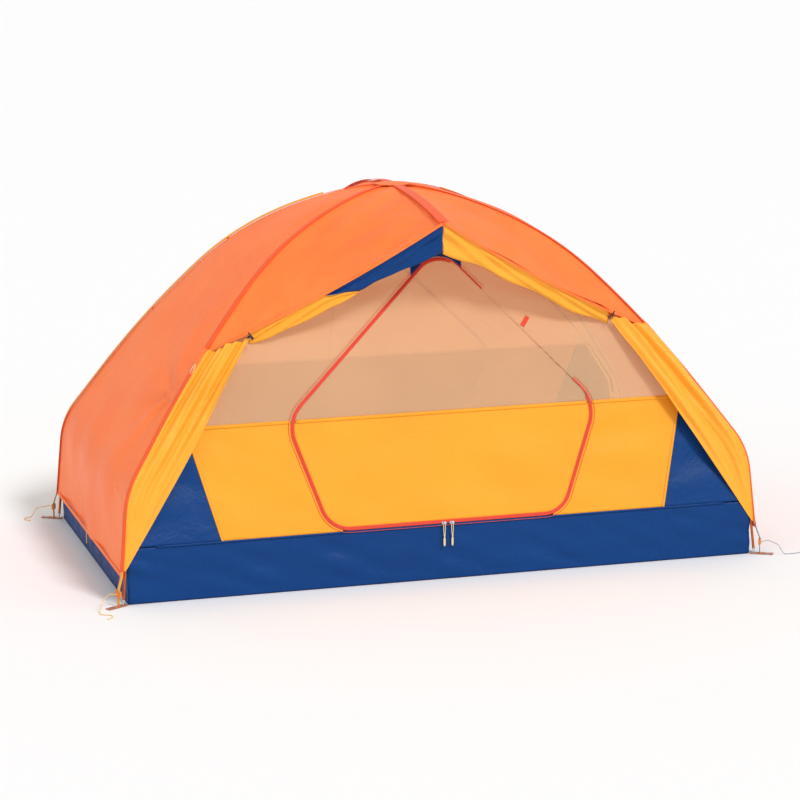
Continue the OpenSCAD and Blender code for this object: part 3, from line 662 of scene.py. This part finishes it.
def band_shape(grid, seed, size=0.004):
    """Slanting folds that grow from the seam down."""
    u, v = lengths(grid)
    rows = np.linspace(0, 1, grid.shape[1])[None, :] * np.ones_like(u)
    slant = np.sin(2 * math.pi * (u / 0.24 + rows * 1.6) + np.sin(u * 9 + seed))
    return size * np.clip(rows * 4, 0, 1) * (slant + 0.45 * crinkle(u * 0.4, v * 1.5, 0.07, seed))


V_TIED, V_RIDGE = TIE_V + 0.005, 0.9985
left_roll = strip_grid(-1, V_TIED, 0.67, left_top, full)
cloth("front_roll_left_cloth", left_roll, YELLOW, ["front_flap_rolls"],
      shape=band_shape(left_roll, 31))
right_roll = strip_grid(1, V_TIED, V_RIDGE, none, full, 150)
cloth("front_roll_right_cloth", right_roll, YELLOW, [],
      shape=band_shape(right_roll, 32))
vent = strip_grid(-1, 0.505, V_RIDGE, none, blue_share)
cloth("front_vent_cloth", vent, BLUE, ["front_vent_panel"],
      shape=band_shape(vent, 33, 0.005))

# Seam tapes where the orange top meets the tied-back front
BROW_VS, BROW_TAPE = np.linspace(0.004, 0.995, 90), 0.011
for sx, side_name in SIDES:
    seam = [awning_at(sx, 1, v) + np.array([0, -0.001, 0]) for v in BROW_VS]
    ribbon(f"brow_seam_{side_name}", seam, [0, 0.35, 0.94], BROW_TAPE, ORANGE)

# Sewn pockets over the tips of the ridge pole
for sy, radius in ((-1, FRONT_R), (1, REAR_R)):
    rows = []
    for k in np.linspace(0, 1, 26):
        y = sy * (RIDGE_HALF - 0.05 + 0.072 * k)
        c = on_arc(abs(y), radius, -0.001) * [1, sy, 1]
        close = math.sqrt(max(0.0, 1 - max(0.0, (k - 0.86) / 0.14) ** 2))
        rows.append([c + np.array([math.cos(a) * (0.0115 - 0.002 * k) * close, 0, math.sin(a) * 0.0105 * close])
                     for a in np.linspace(-0.35, math.pi + 0.35, 24)])
    cloth(f"ridge_pocket_{'front' if sy < 0 else 'rear'}", np.array(rows), ORANGE)

# Elastic loops round the toggles
for sx, side_name in SIDES:
    c = tie_point(sx) + np.array([0, -0.016, 0.006])
    loop = [c + 0.011 * np.array([0.5 * math.sin(a) * sx, math.cos(a) * 0.9, math.sin(a) - 0.5])
            for a in np.linspace(0, 2 * math.pi, 28, endpoint=False)]
    line(f"toggle_loop_{side_name}", loop, 0.0014, ELASTIC, closed=True)

# ---------------------------------------------------------------- fly: closed rear vestibule
TIP = ridge_at(RIDGE_TIP, 0.009) + np.array([0, 0.006, -0.008])
STAKE = np.array([0, 1.15, 0.045])


def rear_corner(sx):
    return fly_at(sx, 1, HEM_S) + np.array([0, 0.008, 0])


def rear_shoulder(sx, side_name):
    ts, vs = np.linspace(0.01, 0.98, 90), np.linspace(0, 1, 40)
    rows = []
    for t in ts:
        if t < 0.5:
            outer = awning_at(-sx, 1, 1 - 2 * t, REAR_R) * TURN + np.array([0, 0.0012, -0.001])
        else:
            outer = fly_at(sx, 1, lerp(SHOULDER_S, HEM_S, 2 * t - 1)) + np.array([-sx * 0.001, 0.002, 0])
        chord = lerp(TIP, rear_corner(sx), t) + np.array([sx * 0.001, 0.0, 0.001])
        rows.append([lerp(outer, chord, v) for v in vs])
    grid = np.array(rows)
    u, v = lengths(grid)
    hold = fade(vs[None, :] * np.ones_like(u))
    return cloth(f"rear_shoulder_{side_name}_cloth", grid, YELLOW_REAR_LIT,
                 ["rear_shoulder_panels"] if sx < 0 else [],
                 shape=0.004 * hold * crinkle(u, v, 0.13, 41 + sx))


def rear_flap(sx, side_name):
    ts, vs = np.linspace(0.0, 1, 80), np.linspace(0, 1, 60)
    top = TIP + np.array([sx * 0.0035, 0.002, -0.003])
    low = rear_corner(sx) + np.array([-sx * 0.002, 0.002, -0.001])
    foot = STAKE + np.array([sx * 0.0035, 0, 0])
    grid = np.array([[lerp(lerp(top, low, t), lerp(top, foot, t), v) for v in vs]
                     for t in np.maximum(ts, 0.01)])
    u, v = lengths(grid)
    t = ts[:, None] * np.ones_like(u)
    hold = fade(vs[None, :] * np.ones_like(u)) * t
    low_folds = 0.006 * np.sin(v * 26 + 2 * t) * np.clip(t - 0.5, 0, 1) * 2
    shape = hold * (0.004 * crinkle(u, v, 0.16, 51 + sx) + low_folds)
    return cloth(f"rear_flap_{side_name}_cloth", grid, YELLOW_REAR_LIT,
                 [f"rear_vestibule_{side_name}"], body=f"rear_flap_{side_name}",
                 shape=shape)


for sx, side_name in SIDES:
    rear_shoulder(sx, side_name)
    rear_flap(sx, side_name)
    # The hinge seam is sewn on the shoulder's side, so the flap swings clear of it
    across = np.cross(rear_corner(sx) - TIP, [0, 1, 0.35])
    across = across / np.linalg.norm(across)
    seam_shift = -sx * 0.0045 * across + [0, 0.004, 0.001]
    hinge_seam = [lerp(TIP, rear_corner(sx), t) + seam_shift for t in np.linspace(0.02, 0.99, 70)]
    ribbon(f"rear_hinge_seam_{side_name}", hinge_seam, across, 0.012, YELLOW, columns=5)
    rear_brow = [awning_at(-sx, 1, v, REAR_R) * TURN + [0, 0.002, 0] for v in BROW_VS]
    ribbon(f"rear_brow_seam_{side_name}", rear_brow, [0, -0.35, 0.94], BROW_TAPE, ORANGE)
    low_edge = [lerp(rear_corner(sx), STAKE, t) + [0, 0.003, 0.002] for t in np.linspace(0.02, 0.99, 60)]
    ribbon(f"rear_hem_{side_name}", low_edge, [0, -0.4, 0.9], 0.012, YELLOW,
           body=f"rear_flap_{side_name}")

# ---------------------------------------------------------------- inner tent: the leaning front and rear walls
# The door's rounded corners as (x, z, radius), and the wall's outer edge as (half width, z)
ROUND = [(-0.335, 0.296, 0.1), (0.345, 0.296, 0.1), (0.425, 0.53, 0.12), (0.045, 0.965, 0.095),
         (-0.39, 0.525, 0.12)]
EDGE = [(1.072, 0.19), (1.056, 0.3), (1.03, 0.4), (0.93, 0.545), (0.8, 0.69), (0.69, 0.795), (0.56, 0.89),
        (0.4, 0.98), (0.2, 1.055), (0, 1.082)]
EDGE_HALVES, EDGE_ZS = [e[0] for e in EDGE], [e[1] for e in EDGE]


def to_w(z):
    """Distance up the leaning wall at height z."""
    return (z - TUB_H) / math.cos(LEAN)


def door_outline(grow=0.0):
    """The door's edge in the wall's plane, moved outwards by grow."""
    circles = [(x, to_w(z), r) for x, z, r in ROUND]
    tangents = []
    for i in range(5):
        a, b = circles[i], circles[(i + 1) % 5]
        d = np.subtract(b[:2], a[:2])
        tangents.append(math.atan2(d[1], d[0]) - math.acos((a[2] - b[2]) / np.linalg.norm(d)))
    points = []
    for i in range(5):
        a0, a1 = tangents[i - 1], tangents[i]
        while a1 < a0:
            a1 += 2 * math.pi
        x, w, r = circles[i]
        points += [(x + (r + grow) * math.cos(a), w + (r + grow) * math.sin(a)) for a in np.linspace(a0, a1, 16)]
    return np.array(points)


def dense(points, step):
    """A closed outline cut into steps of about one length."""
    closed = np.vstack([points, points[:1]])
    out = []
    for a, b in zip(closed[:-1], closed[1:]):
        k = max(1, int(np.linalg.norm(b - a) / step))
        out += [lerp(a, b, i / k) for i in range(k)]
    return np.array(out)


def from_wall(x, w, out=0.0):
    return np.array([x, WALL_Y + w * math.sin(LEAN) - out * math.cos(LEAN),
                     TUB_H + w * math.cos(LEAN) + out * math.sin(LEAN)])


def door_limits(grow):
    """Left and right edge of the door at height w."""
    outline = dense(door_outline(grow), 0.004)
    low, high = outline[:, 1].min(), outline[:, 1].max()
    top_x = outline[outline[:, 1].argmax(), 0]

    def limits(w):
        w_in = min(max(w, low + 0.001), high - 0.0005)
        near = outline[np.abs(outline[:, 1] - w_in) < 0.004]
        if w > high or not len(near):
            return top_x, top_x
        return near[:, 0].min(), near[:, 0].max()

    return limits, low, high


def edge_x(w):
    return float(np.interp(TUB_H + w * math.cos(LEAN), EDGE_ZS, EDGE_HALVES))


def wall_rows(name, w0, w1, left, right, material, replaced, body, back, amplitude, seed,
              rows=50, columns=60):
    """A panel of the wall between two edges, each given as x at distance w up the wall."""
    grid = []
    for w in np.linspace(w0, w1, rows):
        a, b = left(w), right(w)
        grid.append([from_wall(lerp(a, b, k), w, 0.0006) for k in np.linspace(0, 1, columns)])
    grid = np.array(grid)
    u, v = lengths(grid)
    hold = fade(np.linspace(0, 1, columns)[None, :] * np.ones_like(u))
    hold = hold * fade(np.linspace(0, 1, rows)[:, None] * np.ones_like(u))
    shape = amplitude * hold * crinkle(u, v * 0.6, 0.2, seed)
    if back:
        grid = grid * TURN
    return cloth(name, grid, material, replaced, body, shape=shape)


door_in, DOOR_LOW, DOOR_HIGH = door_limits(-0.0008)
door_out, _, _ = door_limits(0.0004)
W_SPLIT = to_w(LOWER_H)
W_TOP = to_w(1.08)
W_FOOT = 0.002
TAPE_OUT = 0.0022
# Ends of the door's slanted edge, where it hinges and the zip is open
HINGE_LOW, HINGE_HIGH = np.array([0.513508, to_w(0.607971)]), np.array([0.115069, to_w(1.02673)])
HINGE_REACH = 0.022
WALL_GAP, DOOR_GAP, COIL_GAP = (0.07, 0.8), (-0.045, 1.045), (-0.07, 1.07)
ALONG_X, UP_WALL = from_wall(1, 0) - from_wall(0, 0), from_wall(0, 1) - from_wall(0, 0)


def gusset_x(w):
    return 0.775 + 0.264 * w * math.cos(LEAN)


def hinge_share(points):
    """For points in the wall's plane: how far along the hinge's line, and how far off it."""
    run = HINGE_HIGH - HINGE_LOW
    along = (points - HINGE_LOW) @ run / np.dot(run, run)
    off = np.abs(np.cross(run, points - HINGE_LOW)) / np.linalg.norm(run)
    return along, off


for back in (False, True):
    face = "rear" if back else "front"
    body = f"{face}_door"
    turn = TURN if back else 1
    wall_rows(f"{face}_door_lower_cloth", DOOR_LOW + 0.001, W_SPLIT - 0.001,
              lambda w: door_in(w)[0], lambda w: door_in(w)[1],
              YELLOW_WALL, [f"{face}_door_lower"], body, back, 0.003, 61, columns=90)
    wall_rows(f"{face}_door_mesh_cloth", W_SPLIT + 0.001, DOOR_HIGH - 0.001,
              lambda w: door_in(w)[0], lambda w: door_in(w)[1],
              MESH, [f"{face}_door_mesh"], body, back, 0.004, 62, columns=80)
    for pick, (side, tag) in enumerate(SIDES):
        lead = side < 0 and not back
        wall_rows(f"{face}_lower_wall_{tag}_cloth", W_FOOT, W_SPLIT - 0.001,
                  lambda w: side * gusset_x(w), lambda w: door_out(w)[pick],
                  YELLOW_WALL, ["lower_wall_panels"] if lead else [], "tent", back,
                  0.003, 63 + side)
        wall_rows(f"{face}_gusset_{tag}_cloth", W_FOOT, W_SPLIT - 0.001,
                  lambda w: side * gusset_x(w), lambda w: side * (edge_x(w) - 0.016),
                  BLUE, ["corner_gussets"] if lead else [], "tent", back,
                  0.004, 66 + side, columns=30)
        wall_rows(f"{face}_mesh_wall_{tag}_cloth", W_SPLIT + 0.001, W_TOP,
                  lambda w: side * edge_x(w), lambda w: door_out(w)[pick],
                  MESH, ["wall_mesh_panels"] if lead else [], "tent", back,
                  0.004, 69 + side, rows=80)
        # Bound edges of the panels
        for tape, w0, w1, edge, look, slot in (
            ("gusset", W_FOOT, W_SPLIT, gusset_x, YELLOW_WALL, "yellow_cloth"),
            ("outer", 0.16, W_TOP, edge_x, BLUE, "blue_cloth"),
        ):
            path = np.array([from_wall(side * edge(w), w, TAPE_OUT) for w in np.linspace(w0, w1, 60)])
            ribbon(f"{face}_{tape}_seam_{tag}", path * turn, ALONG_X, 0.009, look)
    # The seam between yellow and mesh: two runs on the wall, one on the door
    on_wall, on_door = door_out(W_SPLIT), door_in(W_SPLIT)
    for name, a, b, count, rides in (
        ("split_seam_0", -edge_x(W_SPLIT), on_wall[0] - 0.008, 40, "tent"),
        ("split_seam_1", on_wall[1] + 0.008, edge_x(W_SPLIT), 40, "tent"),
        ("door_split_seam", on_door[0] + 0.009, on_door[1] - 0.009, 60, body),
    ):
        path = np.array([from_wall(x, W_SPLIT, TAPE_OUT) for x in np.linspace(a, b, count)])
        ribbon(f"{face}_{name}", path * turn, UP_WALL, 0.012, YELLOW_WALL, body=rides)

    # Zip: two tapes and the coil between them, open along the slanted edge where the door hinges
    for part, offset, width, thick, lift, gap, rides, replaced in (
        ("wall_tape", 0.0033, 0.0052, 0.0012, 0.0032, WALL_GAP, "tent", ["wall_zip_tapes"] if not back else []),
        ("door_tape", -0.0033, 0.0052, 0.0012, 0.0032, DOOR_GAP, body, [f"{face}_door_zip_tape"]),
        ("coil", 0.0, 0.0026, 0.002, 0.0042, COIL_GAP, "tent", []),
        ("rain_stitch", 0.013, 0.0011, 0.0012, 0.0032, WALL_GAP, "tent", []),
    ):
        outline = dense(door_outline(offset), 0.01)
        points = np.array([from_wall(x, w, lift) for x, w in outline])
        across = np.array([from_wall(g[1], -g[0]) - from_wall(0, 0) for g in np.gradient(outline, axis=0)])
        along, off = hinge_share(outline)
        hinge = (off < HINGE_REACH) & (along > gap[0]) & (along < gap[1])
        start = int(np.argmax(hinge)) + int(hinge.sum())
        order = [(start + i) % len(outline) for i in range(len(outline) - int(hinge.sum()))]
        ribbon(f"{face}_zip_{part}", points[order] * turn, across[order] * turn, width, RED,
               body=rides, thick=thick, replaced=replaced)

# Blue patch at the peak: its foot follows the door's arc
for back in (False, True):
    face = "rear" if back else "front"
    arc = dense(door_outline(0.0), 0.002)
    arc = arc[arc[:, 1] > to_w(0.97)]
    arc = arc[np.argsort(arc[:, 0])]
    columns = []
    for k in np.linspace(0, 1, 16):
        row = []
        for x in np.linspace(-0.055, 0.125, 50):
            foot = min(float(np.interp(x, arc[:, 0], arc[:, 1])) + 0.008, to_w(1.074))
            row.append(from_wall(x, lerp(foot, W_TOP, k), 0.0044))
        columns.append(row)
    grid = np.array(columns) * (TURN if back else 1)
    cloth(f"{face}_peak_patch_cloth", grid, BLUE, ["peak_patches"] if not back else [],
          shape=0.0006 * crinkle(*lengths(grid), 0.05, 71))

# ---------------------------------------------------------------- inner tent: ends, roof, tub
ROOF_RISE, ROOF_SPAN = 0.096, 0.892


def row_across(x, z):
    """Points from the front wall to the rear one at height z, rising between them."""
    depth = -WALL_Y - (z - TUB_H) * math.tan(LEAN) - 0.004
    rise = ROOF_RISE * max(0, (z - TUB_H) / ROOF_SPAN) ** 1.6
    return [[x, v * depth, z + rise * (1 - v * v)] for v in np.linspace(-1, 1, 50)]


def edge_at(t):
    i = min(int(t * (len(EDGE) - 1)), len(EDGE) - 2)
    return lerp(np.array(EDGE[i]), np.array(EDGE[i + 1]), t * (len(EDGE) - 1) - i)


for sx, side_name in SIDES:
    grid = np.array([row_across(sx * e[0], e[1]) for e in (edge_at(t) for t in np.linspace(0.012, 0.76, 70))])
    u, v = lengths(grid)
    cloth(f"end_mesh_{side_name}_cloth", grid, MESH, [f"end_mesh_{side_name}"],
          shape=0.005 * crinkle(u, v, 0.25, 81 + sx))
roof_half = edge_at(0.77)[0]
grid = np.array([row_across(x, float(np.interp(abs(x), EDGE_HALVES[::-1], EDGE_ZS[::-1])))
                 for x in np.linspace(-roof_half, roof_half, 60)])
cloth("roof_mesh_cloth", grid, MESH, ["roof_mesh"],
      shape=0.004 * crinkle(*lengths(grid), 0.25, 83))

HALF_L, HALF_W = FLOOR_L / 2, FLOOR_W / 2
SIDE_X, FACE_X, FACE_Y = HALF_L - 0.004, HALF_L - 0.002, HALF_W + 0.004
for name, start, end, seed in (
    ("front", (-FACE_X, -FACE_Y), (FACE_X, -FACE_Y), 91),
    ("rear", (FACE_X, FACE_Y), (-FACE_X, FACE_Y), 92),
    ("left", (-SIDE_X, HALF_W), (-SIDE_X, -HALF_W), 93),
    ("right", (SIDE_X, -HALF_W), (SIDE_X, HALF_W), 94),
):
    start, end = np.array(start), np.array(end)
    run = np.linalg.norm(end - start)
    ks, zs = np.linspace(0, 1, int(run / 0.012)), np.linspace(0.0015, TUB_H - 0.002, 30)
    grid = np.array([[[*lerp(start, end, k), z] for z in zs] for k in ks])
    u, v = lengths(grid)
    hold = fade(zs[None, :] / TUB_H * np.ones_like(u))
    corners = np.exp(-u / 0.14) + np.exp(-(run - u) / 0.14)
    creases = np.sin(2 * math.pi * (v / 0.06 + u / 0.19)) * corners * 0.5
    cloth(f"tub_{name}_cloth", grid, BLUE, ["tub_walls"] if name == "front" else [],
          shape=hold * (0.0035 * crinkle(u * 0.45, v, 0.075, seed) + 0.004 * creases))
xs, ys = np.linspace(-FACE_X, FACE_X, 120), np.linspace(-HALF_W + 0.002, HALF_W - 0.002, 70)
grid = np.array([[[x, y, 0.0012] for y in ys] for x in xs])
u, v = lengths(grid)
cloth("floor_cloth", grid, BLUE, ["floor_sheet"],
      shape=0.0005 * (1 + crinkle(u, v, 0.12, 95) / 3))
SEAM_HALF = HALF_L - 0.1
for name, y in (("front", -HALF_W - 0.0066), ("rear", HALF_W + 0.0066)):
    path = [[x, y, TUB_H - 0.001] for x in np.linspace(-SEAM_HALF, SEAM_HALF, 60)]
    ribbon(f"tub_top_seam_{name}", path, [0, 0, 1], 0.007, BLUE)

# ---------------------------------------------------------------- corner straps, guy cords and zip pulls
STRAP_RHO = CORNER_RHO + 0.036
for sx, side_name in SIDES:
    look, slot = (AMBER_WEB, "yellow_webbing") if sx < 0 else (NAVY_WEB, "navy_webbing")
    for sy in (-1, 1):
        radial = outward(sx, sy)
        hem = fly_at(sx, sy, HEM_S)
        low = radial * (STRAP_RHO + 0.0007)
        route = smooth_path([hem + radial * 0.0015 + [0, 0, 0.02], hem + radial * 0.004,
                             radial * STRAP_RHO + [0, 0, 0.056], low + [0, 0, 0.03], low + [0, 0, 0.0045]])
        ribbon(f"corner_strap_{corner_tag(sx, sy)}", route, tangent(sx, sy), 0.013, look,
               replaced=[f"corner_straps_{side_name}"] if sy < 0 else [])

# Each cord: its look, its slot, and its route from the ladder lock, beside the peg, to its loose end
CORDS = {
    "guy_cord_front_left": (YELLOW_CORD, "cream_cord", [
        (-1.137, -0.6565, 0.044), (-1.146, -0.6615, 0.046), (-1.1625, -0.6565, 0.046),
        (-1.186, -0.684, 0.037), (-1.194, -0.690, 0.026),
        (-1.199, -0.697, 0.014), (-1.203, -0.704, 0.005), (-1.206, -0.712, 0.0016), (-1.207, -0.722, 0.0014),
        (-1.203, -0.732, 0.0014), (-1.195, -0.738, 0.0014), (-1.186, -0.742, 0.0014), (-1.178, -0.748, 0.0014),
        (-1.173, -0.757, 0.0014), (-1.173, -0.768, 0.0014), (-1.178, -0.779, 0.0014), (-1.186, -0.789, 0.0014),
        (-1.196, -0.797, 0.0014)]),
    "guy_cord_rear_left": (AMBER_WEB, "yellow_webbing", [
        (-1.137, 0.6565, 0.044), (-1.146, 0.6615, 0.046), (-1.1625, 0.6565, 0.046),
        (-1.186, 0.681, 0.037), (-1.195, 0.683, 0.027),
        (-1.203, 0.685, 0.015), (-1.210, 0.686, 0.005), (-1.218, 0.686, 0.0016), (-1.227, 0.684, 0.0014),
        (-1.235, 0.679, 0.0014), (-1.240, 0.671, 0.0014), (-1.241, 0.661, 0.0014), (-1.237, 0.651, 0.0014),
        (-1.230, 0.643, 0.0014), (-1.222, 0.636, 0.0014)]),
    "guy_cord_front_right": (GREY_CORD, "grey_cord", [
        (1.137, -0.6565, 0.044), (1.146, -0.6615, 0.046), (1.1625, -0.6565, 0.046),
        (1.186, -0.683, 0.036), (1.194, -0.686, 0.025),
        (1.201, -0.688, 0.013), (1.208, -0.689, 0.004), (1.216, -0.690, 0.0015), (1.226, -0.691, 0.0014),
        (1.237, -0.691, 0.0014), (1.249, -0.690, 0.0014), (1.261, -0.688, 0.0014), (1.273, -0.685, 0.0014),
        (1.285, -0.681, 0.0014), (1.297, -0.677, 0.0014), (1.309, -0.674, 0.0014)]),
}
CORD_R = 0.00125
for name, (look, slot, route) in CORDS.items():
    path = smooth_path(route)
    obj = line(f"{name}_braid", path, CORD_R, look, replaced=[name])

# Zip pulls: a cord loop through the slider, ending in a moulded grip
GRIP_SIDES = 17
# Drop below the grip's top, and radius there
GRIP_PROFILE = ((0, 0.002), (0.003, 0.0034), (0.012, 0.0031), (0.024, 0.0034), (0.029, 0.0018))
for face, turn in (("front", 1), ("rear", -1)):
    for _, tag in SIDES:
        node = f"{face}_pull_{tag}"
        low, high = (np.array(c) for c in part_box(node))
        mid = (low + high) / 2
        top_z = high[2] - 0.0015
        loop = []
        for a in np.linspace(0, 2 * math.pi, 40, endpoint=False):
            wide = 0.0045 * math.sin(a) * (0.55 + 0.45 * math.cos(a))
            loop.append([mid[0] + wide, mid[1] - turn * 0.0012 * math.sin(a / 2),
                         top_z - 0.03 * (1 - math.cos(a))])
        line(f"{node}_cord", loop, 0.0013, CREAM, body=node, closed=True, replaced=[node])
        grip_top = top_z - 0.052
        rings = np.array([[[mid[0] + r * math.cos(a), mid[1] + 0.7 * r * math.sin(a), grip_top - drop]
                           for a in np.linspace(0, 2 * math.pi, GRIP_SIDES)] for drop, r in GRIP_PROFILE])
        grip = grid_object(f"{node}_grip", rings, CREAM, 0.0012)
        grip.modifiers.new("round", "SUBSURF").levels = 1
        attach(grip, node)

# ---------------------------------------------------------------- floor, lights and camera
STUDIO, STUDIO_Z = 60, -0.0005
floor_mesh = bpy.data.meshes.new("studio_floor")
floor_mesh.from_pydata([(-STUDIO, -STUDIO, STUDIO_Z), (STUDIO, -STUDIO, STUDIO_Z), (STUDIO, STUDIO, STUDIO_Z),
                        (-STUDIO, STUDIO, STUDIO_Z)], [], [(0, 1, 2, 3)])
studio_floor = bpy.data.objects.new("studio_floor", floor_mesh)
bpy.context.scene.collection.objects.link(studio_floor)
floor_look, _, floor_shader = node_tree("studio_floor")
floor_shader.inputs["Base Color"].default_value = (0.9, 0.9, 0.9, 1)
floor_shader.inputs["Roughness"].default_value = 0.9
floor_mesh.materials.append(floor_look)

world = bpy.data.worlds.new("studio")
bpy.context.scene.world = world
world.use_nodes = True
world.node_tree.nodes["Background"].inputs["Color"].default_value = (1, 1, 1, 1)
world.node_tree.nodes["Background"].inputs["Strength"].default_value = 0.65


def sun(name, towards, strength, softness):
    """A sun that shines towards a direction; softness is the angle it covers, in degrees."""
    data = bpy.data.lights.new(name, "SUN")
    data.energy, data.angle = strength, math.radians(softness)
    obj = bpy.data.objects.new(name, data)
    x, y, z = towards
    obj.rotation_euler = (math.atan2(math.hypot(x, y), -z), 0, math.atan2(y, x) - math.pi / 2)
    bpy.context.scene.collection.objects.link(obj)


sun("key", (-0.45, 1.1, -1.15), 1.9, 14)
sun("left_fill", (1.6, 0.25, -0.7), 0.3, 60)

camera_data = bpy.data.cameras.new("camera")
camera_data.sensor_width, camera_data.lens = 36, 131.1
camera = bpy.data.objects.new("camera", camera_data)
bpy.context.scene.collection.objects.link(camera)
bpy.context.scene.camera = camera
EYE = (-2.7547, -9.7966, 2.5291)
YAW, PITCH, ROLL = (math.radians(a) for a in (15.81, 11.3, -0.6))
ahead = np.array([math.sin(YAW) * math.cos(PITCH), math.cos(YAW) * math.cos(PITCH), -math.sin(PITCH)])
level = np.array([math.cos(YAW), -math.sin(YAW), 0])
upward = np.cross(level, ahead)
side = math.cos(ROLL) * level + math.sin(ROLL) * upward
top = -math.sin(ROLL) * level + math.cos(ROLL) * upward
turned = Matrix((side, top, -ahead)).transposed().to_4x4()
camera.matrix_world = Matrix.Translation(EYE) @ turned
bpy.context.scene.view_settings.view_transform = "Standard"
